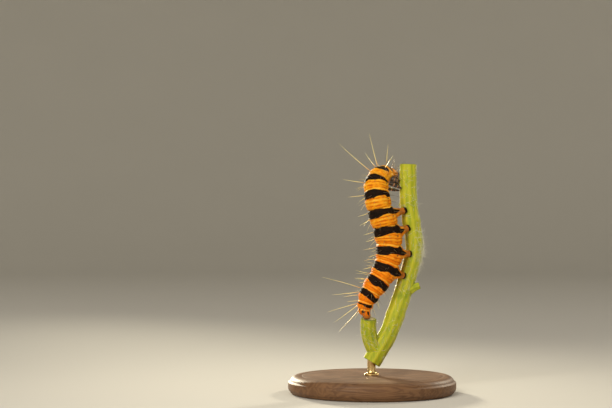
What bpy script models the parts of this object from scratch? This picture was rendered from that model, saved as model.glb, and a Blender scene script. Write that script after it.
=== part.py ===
"""Life-size cinnabar moth larva gripping a short cut length of ragwort stem, on a small display stand.

Metres, +Z up. The origin is the centre of the stand's underside. Seen along +Y, the larva climbs the left
side of the stem with its back to the left. Sizes are in millimetres and angles in degrees until they meet MM.
"""

import math
from collections import namedtuple

import bmesh
import bpy
import numpy as np
from mathutils import Matrix, Vector

MM = 0.001
CUT = 0.12  # width of the thin cuts that part one piece from the next
STEP = 0.05  # spacing of the points that an axis is summed over

# Body segments from the tail forward. Lean is the axis's tilt from upright to the right, away its tilt to the
# back, and turn the belly's bearing from +X towards +Y where the axis is upright.
Segment = namedtuple("Segment", "name length width height lean away turn")
TRUNK = [
    Segment("abdomen_10", 1.00, 1.95, 1.85, 2, 0, 16),
    Segment("abdomen_9", 1.00, 2.50, 2.35, 15, 1, 18),
    Segment("abdomen_8", 1.75, 3.15, 3.00, 26, 3, 20),
    Segment("abdomen_7", 2.25, 3.60, 3.45, 37, 6, 24),
    Segment("abdomen_6", 2.45, 3.95, 3.80, 25, 5, 27),
    Segment("abdomen_5", 2.50, 4.05, 3.90, 6, 2, 28),
    Segment("abdomen_4", 2.75, 4.10, 3.95, -11, -3, 28),
    Segment("abdomen_3", 2.75, 3.98, 3.85, -20, -4, 28),
    Segment("abdomen_2", 2.50, 3.82, 3.68, -11, 4, 30),
    Segment("abdomen_1", 1.75, 3.65, 3.50, 3, 27, 32),
    Segment("metathorax", 1.55, 3.30, 3.15, 40, 45, 34),
    Segment("mesothorax", 1.35, 2.88, 2.72, 86, 52, 34),
    Segment("prothorax", 1.20, 2.45, 2.30, 110, 48, 34),
]
TAIL_END = (-1.12, -0.4, 11.02)
GROOVE = 0.90  # share of the full radius that is left at a groove between segments
BELLY_FLAT = 0.92  # depth of the belly side of a section, as a share of the back side's
RIM_POINTS = 24
SEGMENT_SHARES = (0, 0.1, 0.28, 0.5, 0.72, 0.9, 1)
TAIL_SHARES = (0.03, 0.1, 0.22, 0.4, 0.62, 0.85, 1)
SIDES = ((1, "right"), (-1, "left"))
HEAD_LENGTH, HEAD_WIDTH, HEAD_HEIGHT = 1.45, 2.05, 2.00
HEAD_LEAN, HEAD_AWAY, HEAD_TURN = 122, 45, 34
HEAD_SHARES = (0, 0.12, 0.3, 0.5, 0.68, 0.82, 0.92, 0.98)
# Places on the head run from the neck, 0, to the face, 1, and turns from the middle of the back to each side.
EYE_PLACE, EYE_TURN = 0.46, 104
FEELER_PLACE, FEELER_TURN, FEELER_REACH = 0.80, 104, 0.35
JAW_PLACE, JAW_TURN, JAW_REACH = 0.86, 149, 0.55

# A leg's root lies at a depth inside the body, as a share of its radius, and at a spread from the middle of
# the belly. Its foot straddles the stem by an angle about it. Shares and radii run from root to foot.
GRIP = 0.1  # how far a foot would reach into the stem before it is cut to the stem's shape
PROLEG_SEGMENTS = ("abdomen_3", "abdomen_4", "abdomen_5", "abdomen_6")
PROLEG_DEPTH, PROLEG_SPREAD, PROLEG_AHEAD, PROLEG_STRADDLE = 0.55, 38, 0.15, 24
PROLEG_LIFTS = (0.3, 0.5, 0.55, 0.1)  # of each pair's hold along the stem
PROLEG_SHARES = (0, 0.3, 0.6, 0.85, 1)
PROLEG_RADII = (0.70, 0.65, 0.53, 0.43, 0.48)
ANAL_PLACE, ANAL_DEPTH, ANAL_SPREAD = 0.75, 0.60, 66
ANAL_FOOT = (-0.25, 0.60)  # from the middle of the side shoot's top: along X, and to each side
ANAL_RADII = (0.55, 0.52, 0.46, 0.40, 0.42)
LEG_SEGMENTS = ("prothorax", "mesothorax", "metathorax")
LEG_DEPTH, LEG_SPREAD, LEG_SETBACK, LEG_STRADDLE = 0.7, 42, 0.12, 22
LEG_LIFTS = (0.45, -0.35, -1.0)  # of each pair's hold along the stem, from the front pair back
LEG_BOW = (0.22, 0.18)  # of a leg towards the belly and outwards
LEG_SHARES = (0, 0.3, 0.55, 0.8, 1)
LEG_RADII = (0.36, 0.34, 0.31, 0.28, 0.25)

# The stem from its lower cut end up: length, lean and away tilt of each stretch.
STEM_FOOT = (-0.05, 0.65, 4.4)
STEM_STRETCHES = (
    (1.5, 32, 4),
    (3.0, 31.5, 5),
    (3.2, 20.5, 6),
    (3.0, 19.3, 6),
    (3.3, 16.3, 5),
    (3.2, 16.2, 3),
    (3.2, -6.2, 0),
    (2.7, -9, 0),
    (3.0, -4, 0),
    (3.6, 1, 1),
)
STEM_DIAMETERS = (2.65, 2.4)  # at the foot and at the top
STEM_RIBS, STEM_RIB_DEPTH, STEM_RIM_POINTS = 9, 0.05, 27
STEM_RINGS, SHOOT_RINGS = 17, 7
SHOOT_ROOT = 1.4  # distance up the stem at which the side shoot leaves it
SHOOT_TOP = (-0.50, -0.25, 10.58)
SHOOT_BOW = 0.45
SHOOT_DIAMETER = 2.2

BASE_DIAMETER, BASE_HEIGHT, BASE_BEVEL = 24.0, 2.5, 0.5
ROD_DIAMETER, ROD_FIT, ROD_IN_BASE, ROD_IN_STEM = 1.2, 0.15, 1.5, 1.3

COLOURS = {
    "larva_skin": ((0.85, 0.33, 0.03), 0.55, 0.0),
    "head_shell": ((0.015, 0.01, 0.008), 0.25, 0.0),
    "leg_shell": ((0.03, 0.02, 0.015), 0.35, 0.0),
    "eye": ((0.01, 0.01, 0.01), 0.1, 0.0),
    "stem_green": ((0.25, 0.35, 0.06), 0.6, 0.0),
    "stand_wood": ((0.10, 0.05, 0.025), 0.45, 0.0),
    "stand_brass": ((0.75, 0.55, 0.25), 0.3, 1.0),
}


def clear_scene():
    for obj in list(bpy.data.objects):
        bpy.data.objects.remove(obj)


def material(name):
    """The Principled material of that name, made on first use."""
    found = bpy.data.materials.get(name)
    if found:
        return found
    colour, roughness, metallic = COLOURS[name]
    made = bpy.data.materials.new(name)
    made.use_nodes = True
    shader = made.node_tree.nodes["Principled BSDF"]
    shader.inputs["Base Color"].default_value = (*colour, 1)
    shader.inputs["Roughness"].default_value = roughness
    shader.inputs["Metallic"].default_value = metallic
    return made


def smooth_values(at, stations, values):
    """Values between the stations, on a cubic through them that is level with its neighbours' slope."""
    stations, values = np.asarray(stations, float), np.asarray(values, float)
    slopes = np.gradient(values, stations)
    at = np.clip(at, stations[0], stations[-1])
    i = np.clip(np.searchsorted(stations, at) - 1, 0, len(stations) - 2)
    gap = stations[i + 1] - stations[i]
    t = (at - stations[i]) / gap
    return (
        values[i] * (2 * t**3 - 3 * t**2 + 1)
        + slopes[i] * gap * (t**3 - 2 * t**2 + t)
        + values[i + 1] * (3 * t**2 - 2 * t**3)
        + slopes[i + 1] * gap * (t**3 - t**2)
    )


class Axis:
    """A curved line whose lean, away and turn angles change smoothly along its length."""

    def __init__(self, start, lengths, leans, aways, turns):
        self.ends = np.concatenate([[0], np.cumsum(lengths)])
        self.middles = (self.ends[:-1] + self.ends[1:]) / 2
        self.leans, self.aways, self.turns = leans, aways, turns
        self.length = self.ends[-1]
        self.fine = np.arange(0, self.length + STEP, STEP)
        forward = np.array([self.forward(s) for s in self.fine])
        steps = (forward[1:] + forward[:-1]) / 2 * STEP
        self.points = np.concatenate([[start], np.asarray(start) + np.cumsum(steps, axis=0)])

    def angle(self, s, values):
        return math.radians(smooth_values(s, self.middles, values))

    def forward(self, s):
        lean, away = self.angle(s, self.leans), self.angle(s, self.aways)
        return np.array([math.sin(lean) * math.cos(away), math.sin(away), math.cos(lean) * math.cos(away)])

    def belly(self, s):
        """The belly's direction: square to the axis, towards its bearing and down."""
        turn, ahead = self.angle(s, self.turns), self.forward(s)
        aim = np.array([math.cos(turn), math.sin(turn), -1.0])
        aim -= ahead * aim.dot(ahead)
        return aim / np.linalg.norm(aim)

    def right(self, s):
        return np.cross(self.forward(s), -self.belly(s))

    def point(self, s):
        if s < 0:
            return self.points[0] + s * self.forward(0)
        return np.array([np.interp(s, self.fine, self.points[:, k]) for k in range(3)])


def body_axis():
    return Axis(
        TAIL_END,
        [seg.length for seg in TRUNK] + [HEAD_LENGTH],
        [seg.lean for seg in TRUNK] + [HEAD_LEAN],
        [seg.away for seg in TRUNK] + [HEAD_AWAY],
        [seg.turn for seg in TRUNK] + [HEAD_TURN],
    )


def section(across, deep, angle):
    """How far a section reaches to the right and to the belly, at an angle from the middle of the back."""
    right = across / 2 * math.sin(angle)
    down = -deep / 2 * math.cos(angle)
    return right, down * (BELLY_FLAT if down > 0 else 1)


def swell(share):
    """The radius within a segment, as a share of its full one: full over the middle, less at its grooves."""
    return GROOVE + (1 - GROOVE) * math.sin(math.pi * min(max(share, 0), 1)) ** 0.6


def ring(centre, right, down, across, deep, count=RIM_POINTS):
    points = []
    for k in range(count):
        to_right, to_belly = section(across, deep, 2 * math.pi * k / count)
        points.append(centre + right * to_right + down * to_belly)
    return points


def loft(name, rings, finish, helper=False):
    """A closed solid through rings of points in millimetres, with a flat face at each end."""
    bm = bmesh.new()
    rows = [[bm.verts.new(Vector(p) * MM) for p in points] for points in rings]
    for low, high in zip(rows, rows[1:]):
        count = len(low)
        for k in range(count):
            bm.faces.new((low[k], low[(k + 1) % count], high[(k + 1) % count], high[k]))
    bm.faces.new(rows[0][::-1])
    bm.faces.new(rows[-1])
    bmesh.ops.recalc_face_normals(bm, faces=bm.faces)
    return place(name, bm, finish, helper)


def place(name, bm, finish, helper=False):
    mesh = bpy.data.meshes.new(name)
    bm.to_mesh(mesh)
    bm.free()
    mesh.shade_smooth()
    mesh.set_sharp_from_angle(angle=math.radians(50))
    mesh.materials.append(material(finish))
    obj = bpy.data.objects.new(name, mesh)
    bpy.context.scene.collection.objects.link(obj)
    if helper:
        obj.hide_render = True
        obj.display_type = "WIRE"
    return obj


def subtract(obj, cutter):
    cut = obj.modifiers.new("cut_" + cutter.name, "BOOLEAN")
    cut.operation = "DIFFERENCE"
    cut.object = cutter


def trunk_sizes(axis):
    """Functions giving the trunk's width and height at a distance from the tail end."""
    middles = axis.middles
    widths = [seg.width for seg in TRUNK] + [HEAD_WIDTH]
    heights = [seg.height for seg in TRUNK] + [HEAD_HEIGHT]
    return (
        lambda s: float(smooth_values(s, middles, widths)),
        lambda s: float(smooth_values(s, middles, heights)),
    )


def tail_taper(s):
    """Rounds off the last stretch of the tail."""
    rounding = TRUNK[0].length
    if s >= rounding:
        return 1.0
    return math.sqrt(max(1 - (1 - s / rounding) ** 2, 0.0))


def trunk_ring(axis, s, share, grow=0.0):
    width, height = trunk_sizes(axis)
    factor = swell(share) * tail_taper(s)
    return ring(
        axis.point(s),
        axis.right(s),
        axis.belly(s),
        width(s) * factor + 2 * grow,
        height(s) * factor + 2 * grow,
    )


def segment_rings(axis, index, trim, grow=0.0):
    """The rings of one segment, from trim inside its rear end to trim inside its front end."""
    low = axis.ends[index] + (trim if index else 0)
    high = axis.ends[index + 1] - trim
    rings = []
    for share in TAIL_SHARES if index == 0 else SEGMENT_SHARES:
        swelling = max(share, 0.5) if index == 0 else share
        rings.append(trunk_ring(axis, low + (high - low) * share, swelling, grow))
    return rings


def trunk_segments(axis):
    for index, seg in enumerate(TRUNK):
        loft(seg.name, segment_rings(axis, index, CUT / 2), "larva_skin")


def trunk_cutter(axis):
    """The whole trunk, larger by one cut, for parting the legs from it."""
    rings = segment_rings(axis, 0, 0, CUT)
    rings.insert(0, [p - axis.forward(0) * CUT for p in rings[0]])
    for index in range(1, len(TRUNK)):
        rings += segment_rings(axis, index, 0, CUT)[1:]
    return loft("trunk_cutter", rings, "larva_skin", helper=True)


def tapered_leg(name, path, radii, finish, sides=12):
    """A leg of round sections along a path of points, from inside the body out to its tip."""
    path = [np.asarray(p, float) for p in path]
    rings = []
    for i, (centre, radius) in enumerate(zip(path, radii)):
        ahead = path[min(i + 1, len(path) - 1)] - path[max(i - 1, 0)]
        ahead /= np.linalg.norm(ahead)
        across = np.cross(ahead, (0.1, 1.0, 0.2))
        across /= np.linalg.norm(across)
        other = np.cross(ahead, across)
        turn = [2 * math.pi * k / sides for k in range(sides)]
        rings.append([centre + radius * (across * math.cos(a) + other * math.sin(a)) for a in turn])
    return loft(name, rings, finish)


def root_on(axis, s, spread, side, inside):
    """A point under the body's surface, at an angle from the middle of the belly."""
    width, height = trunk_sizes(axis)
    angle = math.pi - side * math.radians(spread)
    to_right, to_belly = section(width(s) * inside, height(s) * inside, angle)
    return axis.point(s) + axis.right(s) * to_right + axis.belly(s) * to_belly


def along(start, end, shares):
    return [start + (end - start) * share for share in shares]


def stem_axis():
    lengths, leans, aways = zip(*STEM_STRETCHES)
    return Axis(STEM_FOOT, lengths, leans, aways, [0] * len(lengths))


def stem_radius(axis, s):
    low, high = STEM_DIAMETERS
    return (low + (high - low) * s / axis.length) / 2


def nearest_on(axis, point):
    """The distance along an axis at which it passes nearest to a point."""
    far = np.linalg.norm(axis.points - np.asarray(point), axis=1)
    return min(axis.fine[int(far.argmin())], axis.length)


def stem_hold(stem, root, turn, lift=0.0):
    """A point just under the stem's surface, turned about the stem from the side that faces the root."""
    s = nearest_on(stem, root) + lift
    centre, up = stem.point(s), stem.forward(s)
    facing = root - centre
    facing -= up * facing.dot(up)
    facing /= np.linalg.norm(facing)
    turned = Matrix.Rotation(math.radians(turn), 3, Vector(up)) @ Vector(facing)
    return centre + np.array(turned) * (stem_radius(stem, s) - GRIP)


def middle_of(axis, name):
    return axis.middles[[seg.name for seg in TRUNK].index(name)]


def prolegs(axis, stem, trunk_cut, stem_cut):
    for name, lift in zip(PROLEG_SEGMENTS, PROLEG_LIFTS):
        s = middle_of(axis, name) + PROLEG_AHEAD
        for side, word in SIDES:
            root = root_on(axis, s, PROLEG_SPREAD, side, PROLEG_DEPTH)
            sole = stem_hold(stem, root, side * PROLEG_STRADDLE, lift)
            leg_name = name.replace("abdomen", "proleg") + "_" + word
            leg = tapered_leg(leg_name, along(root, sole, PROLEG_SHARES), PROLEG_RADII, "larva_skin")
            subtract(leg, trunk_cut)
            subtract(leg, stem_cut)


def anal_prolegs(axis, trunk_cut, shoot_cut):
    s = TRUNK[0].length * ANAL_PLACE
    along_x, to_side = ANAL_FOOT
    for side, word in SIDES:
        root = root_on(axis, s, ANAL_SPREAD, side, ANAL_DEPTH)
        sole = np.array(SHOOT_TOP) + np.array((along_x, -side * to_side, -GRIP))
        leg = tapered_leg("anal_proleg_" + word, along(root, sole, PROLEG_SHARES), ANAL_RADII, "larva_skin")
        subtract(leg, trunk_cut)
        subtract(leg, shoot_cut)


def true_legs(axis, stem, trunk_cut, stem_cut, head_cut):
    """Three pairs of jointed legs that reach forward from the thorax to the stem."""
    to_belly, outwards = LEG_BOW
    for number, name in enumerate(LEG_SEGMENTS, 1):
        s = middle_of(axis, name) - LEG_SETBACK
        for side, word in SIDES:
            root = root_on(axis, s, LEG_SPREAD, side, LEG_DEPTH)
            tip = stem_hold(stem, root, side * LEG_STRADDLE, LEG_LIFTS[number - 1])
            bow = axis.belly(s) * to_belly + axis.right(s) * side * outwards
            path = [root + (tip - root) * t + bow * math.sin(math.pi * t) for t in LEG_SHARES]
            leg = tapered_leg(f"leg_{number}_{word}", path, LEG_RADII, "leg_shell", sides=10)
            for cutter in (trunk_cut, stem_cut, head_cut):
                subtract(leg, cutter)


def head_fullness(share):
    """The head's radius from the neck, 0, to the face, 1: widest a third of the way, then rounded off."""
    neck = min(1, 0.84 + share * 0.5)
    return neck * math.sqrt(max(1 - (max(share - 0.35, 0) / 0.66) ** 2, 0.0))


def head_point(axis, share, angle, out=0.0):
    """A point on the head's surface at an angle from the middle of the back, or out from it.

    The capsule has two lobes on its back, with a groove between them.
    """
    s = axis.ends[len(TRUNK)] + CUT / 2 + HEAD_LENGTH * share
    off_top = min(angle, 2 * math.pi - angle)
    lobes = 1 + 0.05 * math.exp(-(((off_top - 0.6) / 0.4) ** 2)) - 0.09 * math.exp(-((off_top / 0.25) ** 2))
    full = head_fullness(share)
    reach = np.array(section(HEAD_WIDTH * full, HEAD_HEIGHT * full, angle)) * lobes
    reach += reach / np.linalg.norm(reach) * out
    return axis.point(s) + axis.right(s) * reach[0] + axis.belly(s) * reach[1]


def head_ring(axis, share, grow=0.0):
    return [head_point(axis, share, 2 * math.pi * k / RIM_POINTS, grow) for k in range(RIM_POINTS)]


def head(axis):
    loft("head", [head_ring(axis, share) for share in HEAD_SHARES], "head_shell")
    grown = [head_ring(axis, share, CUT) for share in HEAD_SHARES]
    back = axis.forward(axis.ends[len(TRUNK)]) * CUT
    face = axis.forward(axis.length) * CUT
    grown = [[p - back for p in grown[0]], *grown, [p + face for p in grown[-1]]]
    return loft("head_cutter", grown, "head_shell", helper=True)


def head_parts(axis, cutter):
    """On each side of the head its eye patch, its feeler and its jaw."""
    ahead = axis.forward(axis.ends[len(TRUNK)] + HEAD_LENGTH / 2)
    down = axis.belly(axis.length)
    for side, word in SIDES:
        turn = side * math.radians(EYE_TURN) % (2 * math.pi)
        places = [head_point(axis, EYE_PLACE, turn, out) for out in (-0.25, 0.08, 0.16)]
        eye = tapered_leg("eyes_" + word, places, (0.36, 0.33, 0.24), "eye")
        turn = side * math.radians(FEELER_TURN) % (2 * math.pi)
        root = head_point(axis, FEELER_PLACE, turn, -0.2)
        outwards = head_point(axis, FEELER_PLACE, turn, 0.36) - root
        feeler = tapered_leg(
            "antenna_" + word,
            along(root, root + outwards + ahead * FEELER_REACH, (0, 0.5, 1)),
            (0.27, 0.26, 0.25),
            "leg_shell",
            sides=10,
        )
        root = head_point(axis, JAW_PLACE, side * math.radians(JAW_TURN) % (2 * math.pi), -0.15)
        tip = root + ahead * JAW_REACH + down * 0.25
        jaw = tapered_leg("mandible_" + word, (root, tip), (0.25, 0.25), "head_shell", sides=10)
        for piece in (eye, feeler, jaw):
            subtract(piece, cutter)


def ribbed_ring(centre, up, radius, grow=0.0):
    across = np.cross(up, (0.0, 1.0, 0.0))
    across /= np.linalg.norm(across)
    other = np.cross(up, across)
    points = []
    for k in range(STEM_RIM_POINTS):
        turn = 2 * math.pi * k / STEM_RIM_POINTS
        reach = radius + STEM_RIB_DEPTH * math.cos(STEM_RIBS * turn) + grow
        points.append(centre + reach * (across * math.cos(turn) + other * math.sin(turn)))
    return points


def ribbed_rod(name, places, helper=False):
    """A ribbed stem through places of centre, direction and radius. A helper is larger by one cut."""
    if not helper:
        return loft(name, [ribbed_ring(*spot) for spot in places], "stem_green")
    centre, up, radius = places[-1]
    grown = [ribbed_ring(*spot, CUT) for spot in [*places, (centre + up * CUT, up, radius)]]
    return loft(name, grown, "stem_green", helper=True)


def shoot_places(stem):
    root, top = stem.point(SHOOT_ROOT), np.array(SHOOT_TOP)
    way = (top - root) / np.linalg.norm(top - root)
    bow = np.array((-SHOOT_BOW, 0.0, 0.0))
    places = []
    for i in range(SHOOT_RINGS):
        t = i / (SHOOT_RINGS - 1)
        up = way + bow * math.cos(math.pi * t) * 0.6
        up[2] += t
        centre = root + (top - root) * t + bow * math.sin(math.pi * t)
        places.append((centre, up / np.linalg.norm(up), SHOOT_DIAMETER / 2))
    return places


def perch(stem):
    """The stem and its side shoot. Returns the cutters that keep the feet off them."""
    distances = [stem.length * i / (STEM_RINGS - 1) for i in range(STEM_RINGS)]
    stem_places = [(stem.point(s), stem.forward(s), stem_radius(stem, s)) for s in distances]
    whole = ribbed_rod("perch_stem", stem_places)
    stem_cut = ribbed_rod("stem_cutter", stem_places, helper=True)
    foot = stem.point(0)
    hole_top = foot[2] + ROD_IN_STEM
    subtract(whole, rod("rod_hole", BASE_HEIGHT, hole_top, ROD_DIAMETER + 2 * ROD_FIT, foot, helper=True))
    shoot = ribbed_rod("perch_side_shoot", shoot_places(stem))
    subtract(shoot, stem_cut)
    return stem_cut, ribbed_rod("shoot_cutter", shoot_places(stem), helper=True)


def rod(name, low, high, diameter, centre, helper=False, finish="stand_brass"):
    bm = bmesh.new()
    bmesh.ops.create_cone(
        bm,
        cap_ends=True,
        segments=24,
        radius1=diameter / 2 * MM,
        radius2=diameter / 2 * MM,
        depth=(high - low) * MM,
        matrix=Matrix.Translation(Vector((centre[0], centre[1], (low + high) / 2)) * MM),
    )
    return place(name, bm, finish, helper)


def stand(stem):
    foot = stem.point(0)
    base = rod("stand_base", 0, BASE_HEIGHT, BASE_DIAMETER, (0, 0), finish="stand_wood")
    rounding = base.modifiers.new("rounding", "BEVEL")
    rounding.width = BASE_BEVEL * MM
    rounding.segments = 3
    rounding.angle_limit = math.radians(60)
    floor = BASE_HEIGHT - ROD_IN_BASE
    subtract(base, rod("base_hole", floor, foot[2], ROD_DIAMETER + 2 * ROD_FIT, foot, helper=True))
    rod("stand_rod", floor + ROD_FIT, foot[2] + ROD_IN_STEM - ROD_FIT, ROD_DIAMETER, foot)


def main():
    clear_scene()
    axis = body_axis()
    stem = stem_axis()
    stem_cut, shoot_cut = perch(stem)
    trunk_segments(axis)
    trunk_cut = trunk_cutter(axis)
    head_cut = head(axis)
    head_parts(axis, head_cut)
    prolegs(axis, stem, trunk_cut, stem_cut)
    anal_prolegs(axis, trunk_cut, shoot_cut)
    true_legs(axis, stem, trunk_cut, stem_cut, head_cut)
    stand(stem)


main()
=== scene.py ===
import math

import bpy
import numpy as np
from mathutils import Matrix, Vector, noise


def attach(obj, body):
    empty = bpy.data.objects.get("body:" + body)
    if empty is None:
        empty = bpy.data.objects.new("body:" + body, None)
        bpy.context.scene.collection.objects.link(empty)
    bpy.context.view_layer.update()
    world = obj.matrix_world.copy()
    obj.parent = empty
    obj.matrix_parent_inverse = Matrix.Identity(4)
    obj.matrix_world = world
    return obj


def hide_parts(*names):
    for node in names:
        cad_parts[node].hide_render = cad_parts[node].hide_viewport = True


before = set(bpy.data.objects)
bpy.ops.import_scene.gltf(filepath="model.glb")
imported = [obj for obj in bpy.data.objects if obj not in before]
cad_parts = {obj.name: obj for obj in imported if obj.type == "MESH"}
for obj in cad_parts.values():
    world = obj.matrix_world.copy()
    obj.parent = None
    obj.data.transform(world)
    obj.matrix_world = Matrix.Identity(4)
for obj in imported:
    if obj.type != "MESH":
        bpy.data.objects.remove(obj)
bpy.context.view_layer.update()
mm = 0.001  # sizes below are in millimetres and turns in degrees until they meet this
sides = ((1, "right"), (-1, "left"))

# The larva's body from the tail forward: length, width, height, lean, away and turn of each stretch
bodyNames = ("abdomen_10", "abdomen_9", "abdomen_8", "abdomen_7", "abdomen_6", "abdomen_5", "abdomen_4",
             "abdomen_3", "abdomen_2", "abdomen_1", "metathorax", "mesothorax", "prothorax", "head")
bodyRows = np.array((
    (1.00, 1.95, 1.85, 2, 0, 16),
    (1.00, 2.50, 2.35, 15, 1, 18),
    (1.75, 3.15, 3.00, 26, 3, 20),
    (2.25, 3.60, 3.45, 37, 6, 24),
    (2.45, 3.95, 3.80, 25, 5, 27),
    (2.50, 4.05, 3.90, 6, 2, 28),
    (2.75, 4.10, 3.95, -11, -3, 28),
    (2.75, 3.98, 3.85, -20, -4, 28),
    (2.50, 3.82, 3.68, -11, 4, 30),
    (1.75, 3.65, 3.50, 3, 27, 32),
    (1.55, 3.30, 3.15, 40, 45, 34),
    (1.35, 2.88, 2.72, 86, 52, 34),
    (1.20, 2.45, 2.30, 110, 48, 34),
    (1.45, 2.05, 2.00, 122, 45, 34),
))
tailEnd = (-1.12, -0.4, 11.02)

# The stem from its lower cut end up: length, lean and away of each stretch
stemRows = np.array((
    (1.5, 32, 4), (3.0, 31.5, 5), (3.2, 20.5, 6), (3.0, 19.3, 6), (3.3, 16.3, 5),
    (3.2, 16.2, 3), (3.2, -6.2, 0), (2.7, -9, 0), (3.0, -4, 0), (3.6, 1, 1),
))
stemFoot = (-0.05, 0.65, 4.4)
stemWidths = (2.65, 2.4)
shootTop = np.array((-0.50, -0.25, 10.58))


# Lines that bend through the model

lineStep = 0.05


def smoothValues(at, stations, values):
    slopes = np.gradient(values, stations)
    at = np.clip(at, stations[0], stations[-1])
    i = np.clip(np.searchsorted(stations, at) - 1, 0, len(stations) - 2)
    gap = stations[i + 1] - stations[i]
    t = (at - stations[i]) / gap
    start = values[i] * (2 * t**3 - 3 * t**2 + 1) + slopes[i] * gap * (t**3 - 2 * t**2 + t)
    return start + values[i + 1] * (3 * t**2 - 2 * t**3) + slopes[i + 1] * gap * (t**3 - t**2)


def unit(vectors):
    vectors = np.asarray(vectors, float)
    return vectors / np.maximum(np.linalg.norm(vectors, axis=-1, keepdims=True), 1e-12)


def squareTo(vector, axis):
    # the way of a vector's part that is square to an axis
    return unit(vector - axis * (vector * axis).sum(-1, keepdims=True))


def curvedLine(start, lengths, leans, aways, turns):
    ends = np.concatenate([[0], np.cumsum(lengths)])
    line = {"ends": ends, "middles": (ends[:-1] + ends[1:]) / 2, "length": ends[-1],
            "fine": np.arange(0, ends[-1] + lineStep, lineStep),
            "leans": leans, "aways": aways, "turns": turns}
    ahead = forwardOn(line, line["fine"])
    steps = (ahead[1:] + ahead[:-1]) / 2 * lineStep
    line["points"] = np.concatenate([[start], start + np.cumsum(steps, axis=0)])
    return line


def angleOn(line, s, name):
    return np.radians(smoothValues(s, line["middles"], line[name]))


def forwardOn(line, s):
    lean, away = angleOn(line, s, "leans"), angleOn(line, s, "aways")
    return np.stack([np.sin(lean) * np.cos(away), np.sin(away), np.cos(lean) * np.cos(away)], -1)


def bellyOn(line, s):
    turn, ahead = angleOn(line, s, "turns"), forwardOn(line, s)
    aim = np.stack([np.cos(turn), np.sin(turn), -np.ones_like(turn)], -1)
    return squareTo(aim, ahead)


def pointOn(line, s):
    s = np.asarray(s, float)
    inside = np.clip(s, 0, line["fine"][-1])
    place = np.stack([np.interp(inside, line["fine"], line["points"][:, k]) for k in range(3)], -1)
    return place + forwardOn(line, inside) * (s - inside)[..., None]


def lineFrame(line, s):
    ahead, belly = forwardOn(line, s), bellyOn(line, s)
    return pointOn(line, s), ahead, belly, np.cross(ahead, -belly)


bodyLine = curvedLine(tailEnd, *bodyRows[:, (0, 3, 4, 5)].T)
stemLine = curvedLine(stemFoot, *stemRows.T, np.zeros(len(stemRows)))
trunkEnd = bodyLine["ends"][-2]


def stemRadius(s):
    low, high = stemWidths
    return (low + (high - low) * np.clip(s / stemLine["length"], 0, 1)) / 2


def bodyHalves(s):
    # half the body's width and half its height
    return [smoothValues(s, bodyLine["middles"], bodyRows[:, k]) / 2 for k in (1, 2)]


def onSegment(k, share):
    return bodyLine["ends"][k] + bodyRows[k, 0] * share


def nearestOn(line, points):
    far = np.linalg.norm(line["points"][None] - np.atleast_2d(points)[:, None], axis=2)
    return line["fine"][np.argmin(far, axis=1)]


def smoothStep(value, low, high):
    t = np.clip((value - low) / (high - low), 0, 1)
    return t * t * (3 - 2 * t)


def hump(value, width):
    # 1 where the value is 0, and fading out over the width on both sides
    return np.exp(-((value / width) ** 2))


def wobble(points, scale, seed=0.0, octaves=1):
    # smooth noise from -1 to 1 at points in millimetres
    flat = points.reshape(-1, 3) * scale + seed
    total = np.zeros(len(flat))
    for k in range(octaves):
        total += 0.5**k * np.array([noise.noise(Vector(place)) for place in (flat * 2.1**k).tolist()])
    return total.reshape(points.shape[:-1])


# Pieces

def seatPiece(piece, nodes=()):
    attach(piece, "root")
    if nodes:
        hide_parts(*nodes)
    return piece


def addObject(name, data):
    made = bpy.data.objects.new(name, data)
    bpy.context.scene.collection.objects.link(made)
    return made


def newMesh(name, points, edges=(), faces=(), fields=None):
    # fields: numbers or vectors at the points, which the finishes and node trees read by name
    mesh = bpy.data.meshes.new(name)
    mesh.from_pydata((np.asarray(points, float) * mm).tolist(), edges, faces)
    for title, values in (fields or {}).items():
        values = np.asarray(values, float)
        kind, slot = ("FLOAT_VECTOR", "vector") if values.ndim == 2 else ("FLOAT", "value")
        mesh.attributes.new(title, kind, "POINT").data.foreach_set(slot, values.ravel())
    return mesh


def addBakeMap(mesh, corners):
    mesh.uv_layers.new(name="OFBake").data.foreach_set("uv", np.asarray(corners, float).ravel())


def valuesOf(items, name, width=1, kind=float):
    values = np.zeros(len(items) * width, kind)
    items.foreach_get(name, values)
    return values


def makePiece(name, shell, material, slot=None, nodes=(), fields=None, uvMap=False):
    points, faces, corners = shell
    mesh = newMesh(name, points, [], faces, fields)
    mesh.shade_smooth()
    mesh.materials.append(material)
    if uvMap:
        addBakeMap(mesh, corners)
    piece = addObject(name, mesh)
    return seatPiece(piece, nodes) if slot else piece


def circle(count):
    return np.linspace(0, 2 * np.pi, count, endpoint=False)


def ringFaces(rings, around):
    k = np.arange(rings - 1)[:, None] * around
    j = np.arange(around)[None]
    after = (j + 1) % around
    quads = np.stack([k + j, k + after, k + around + after, k + around + j], -1).reshape(-1, 4)
    return quads.tolist()


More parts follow.
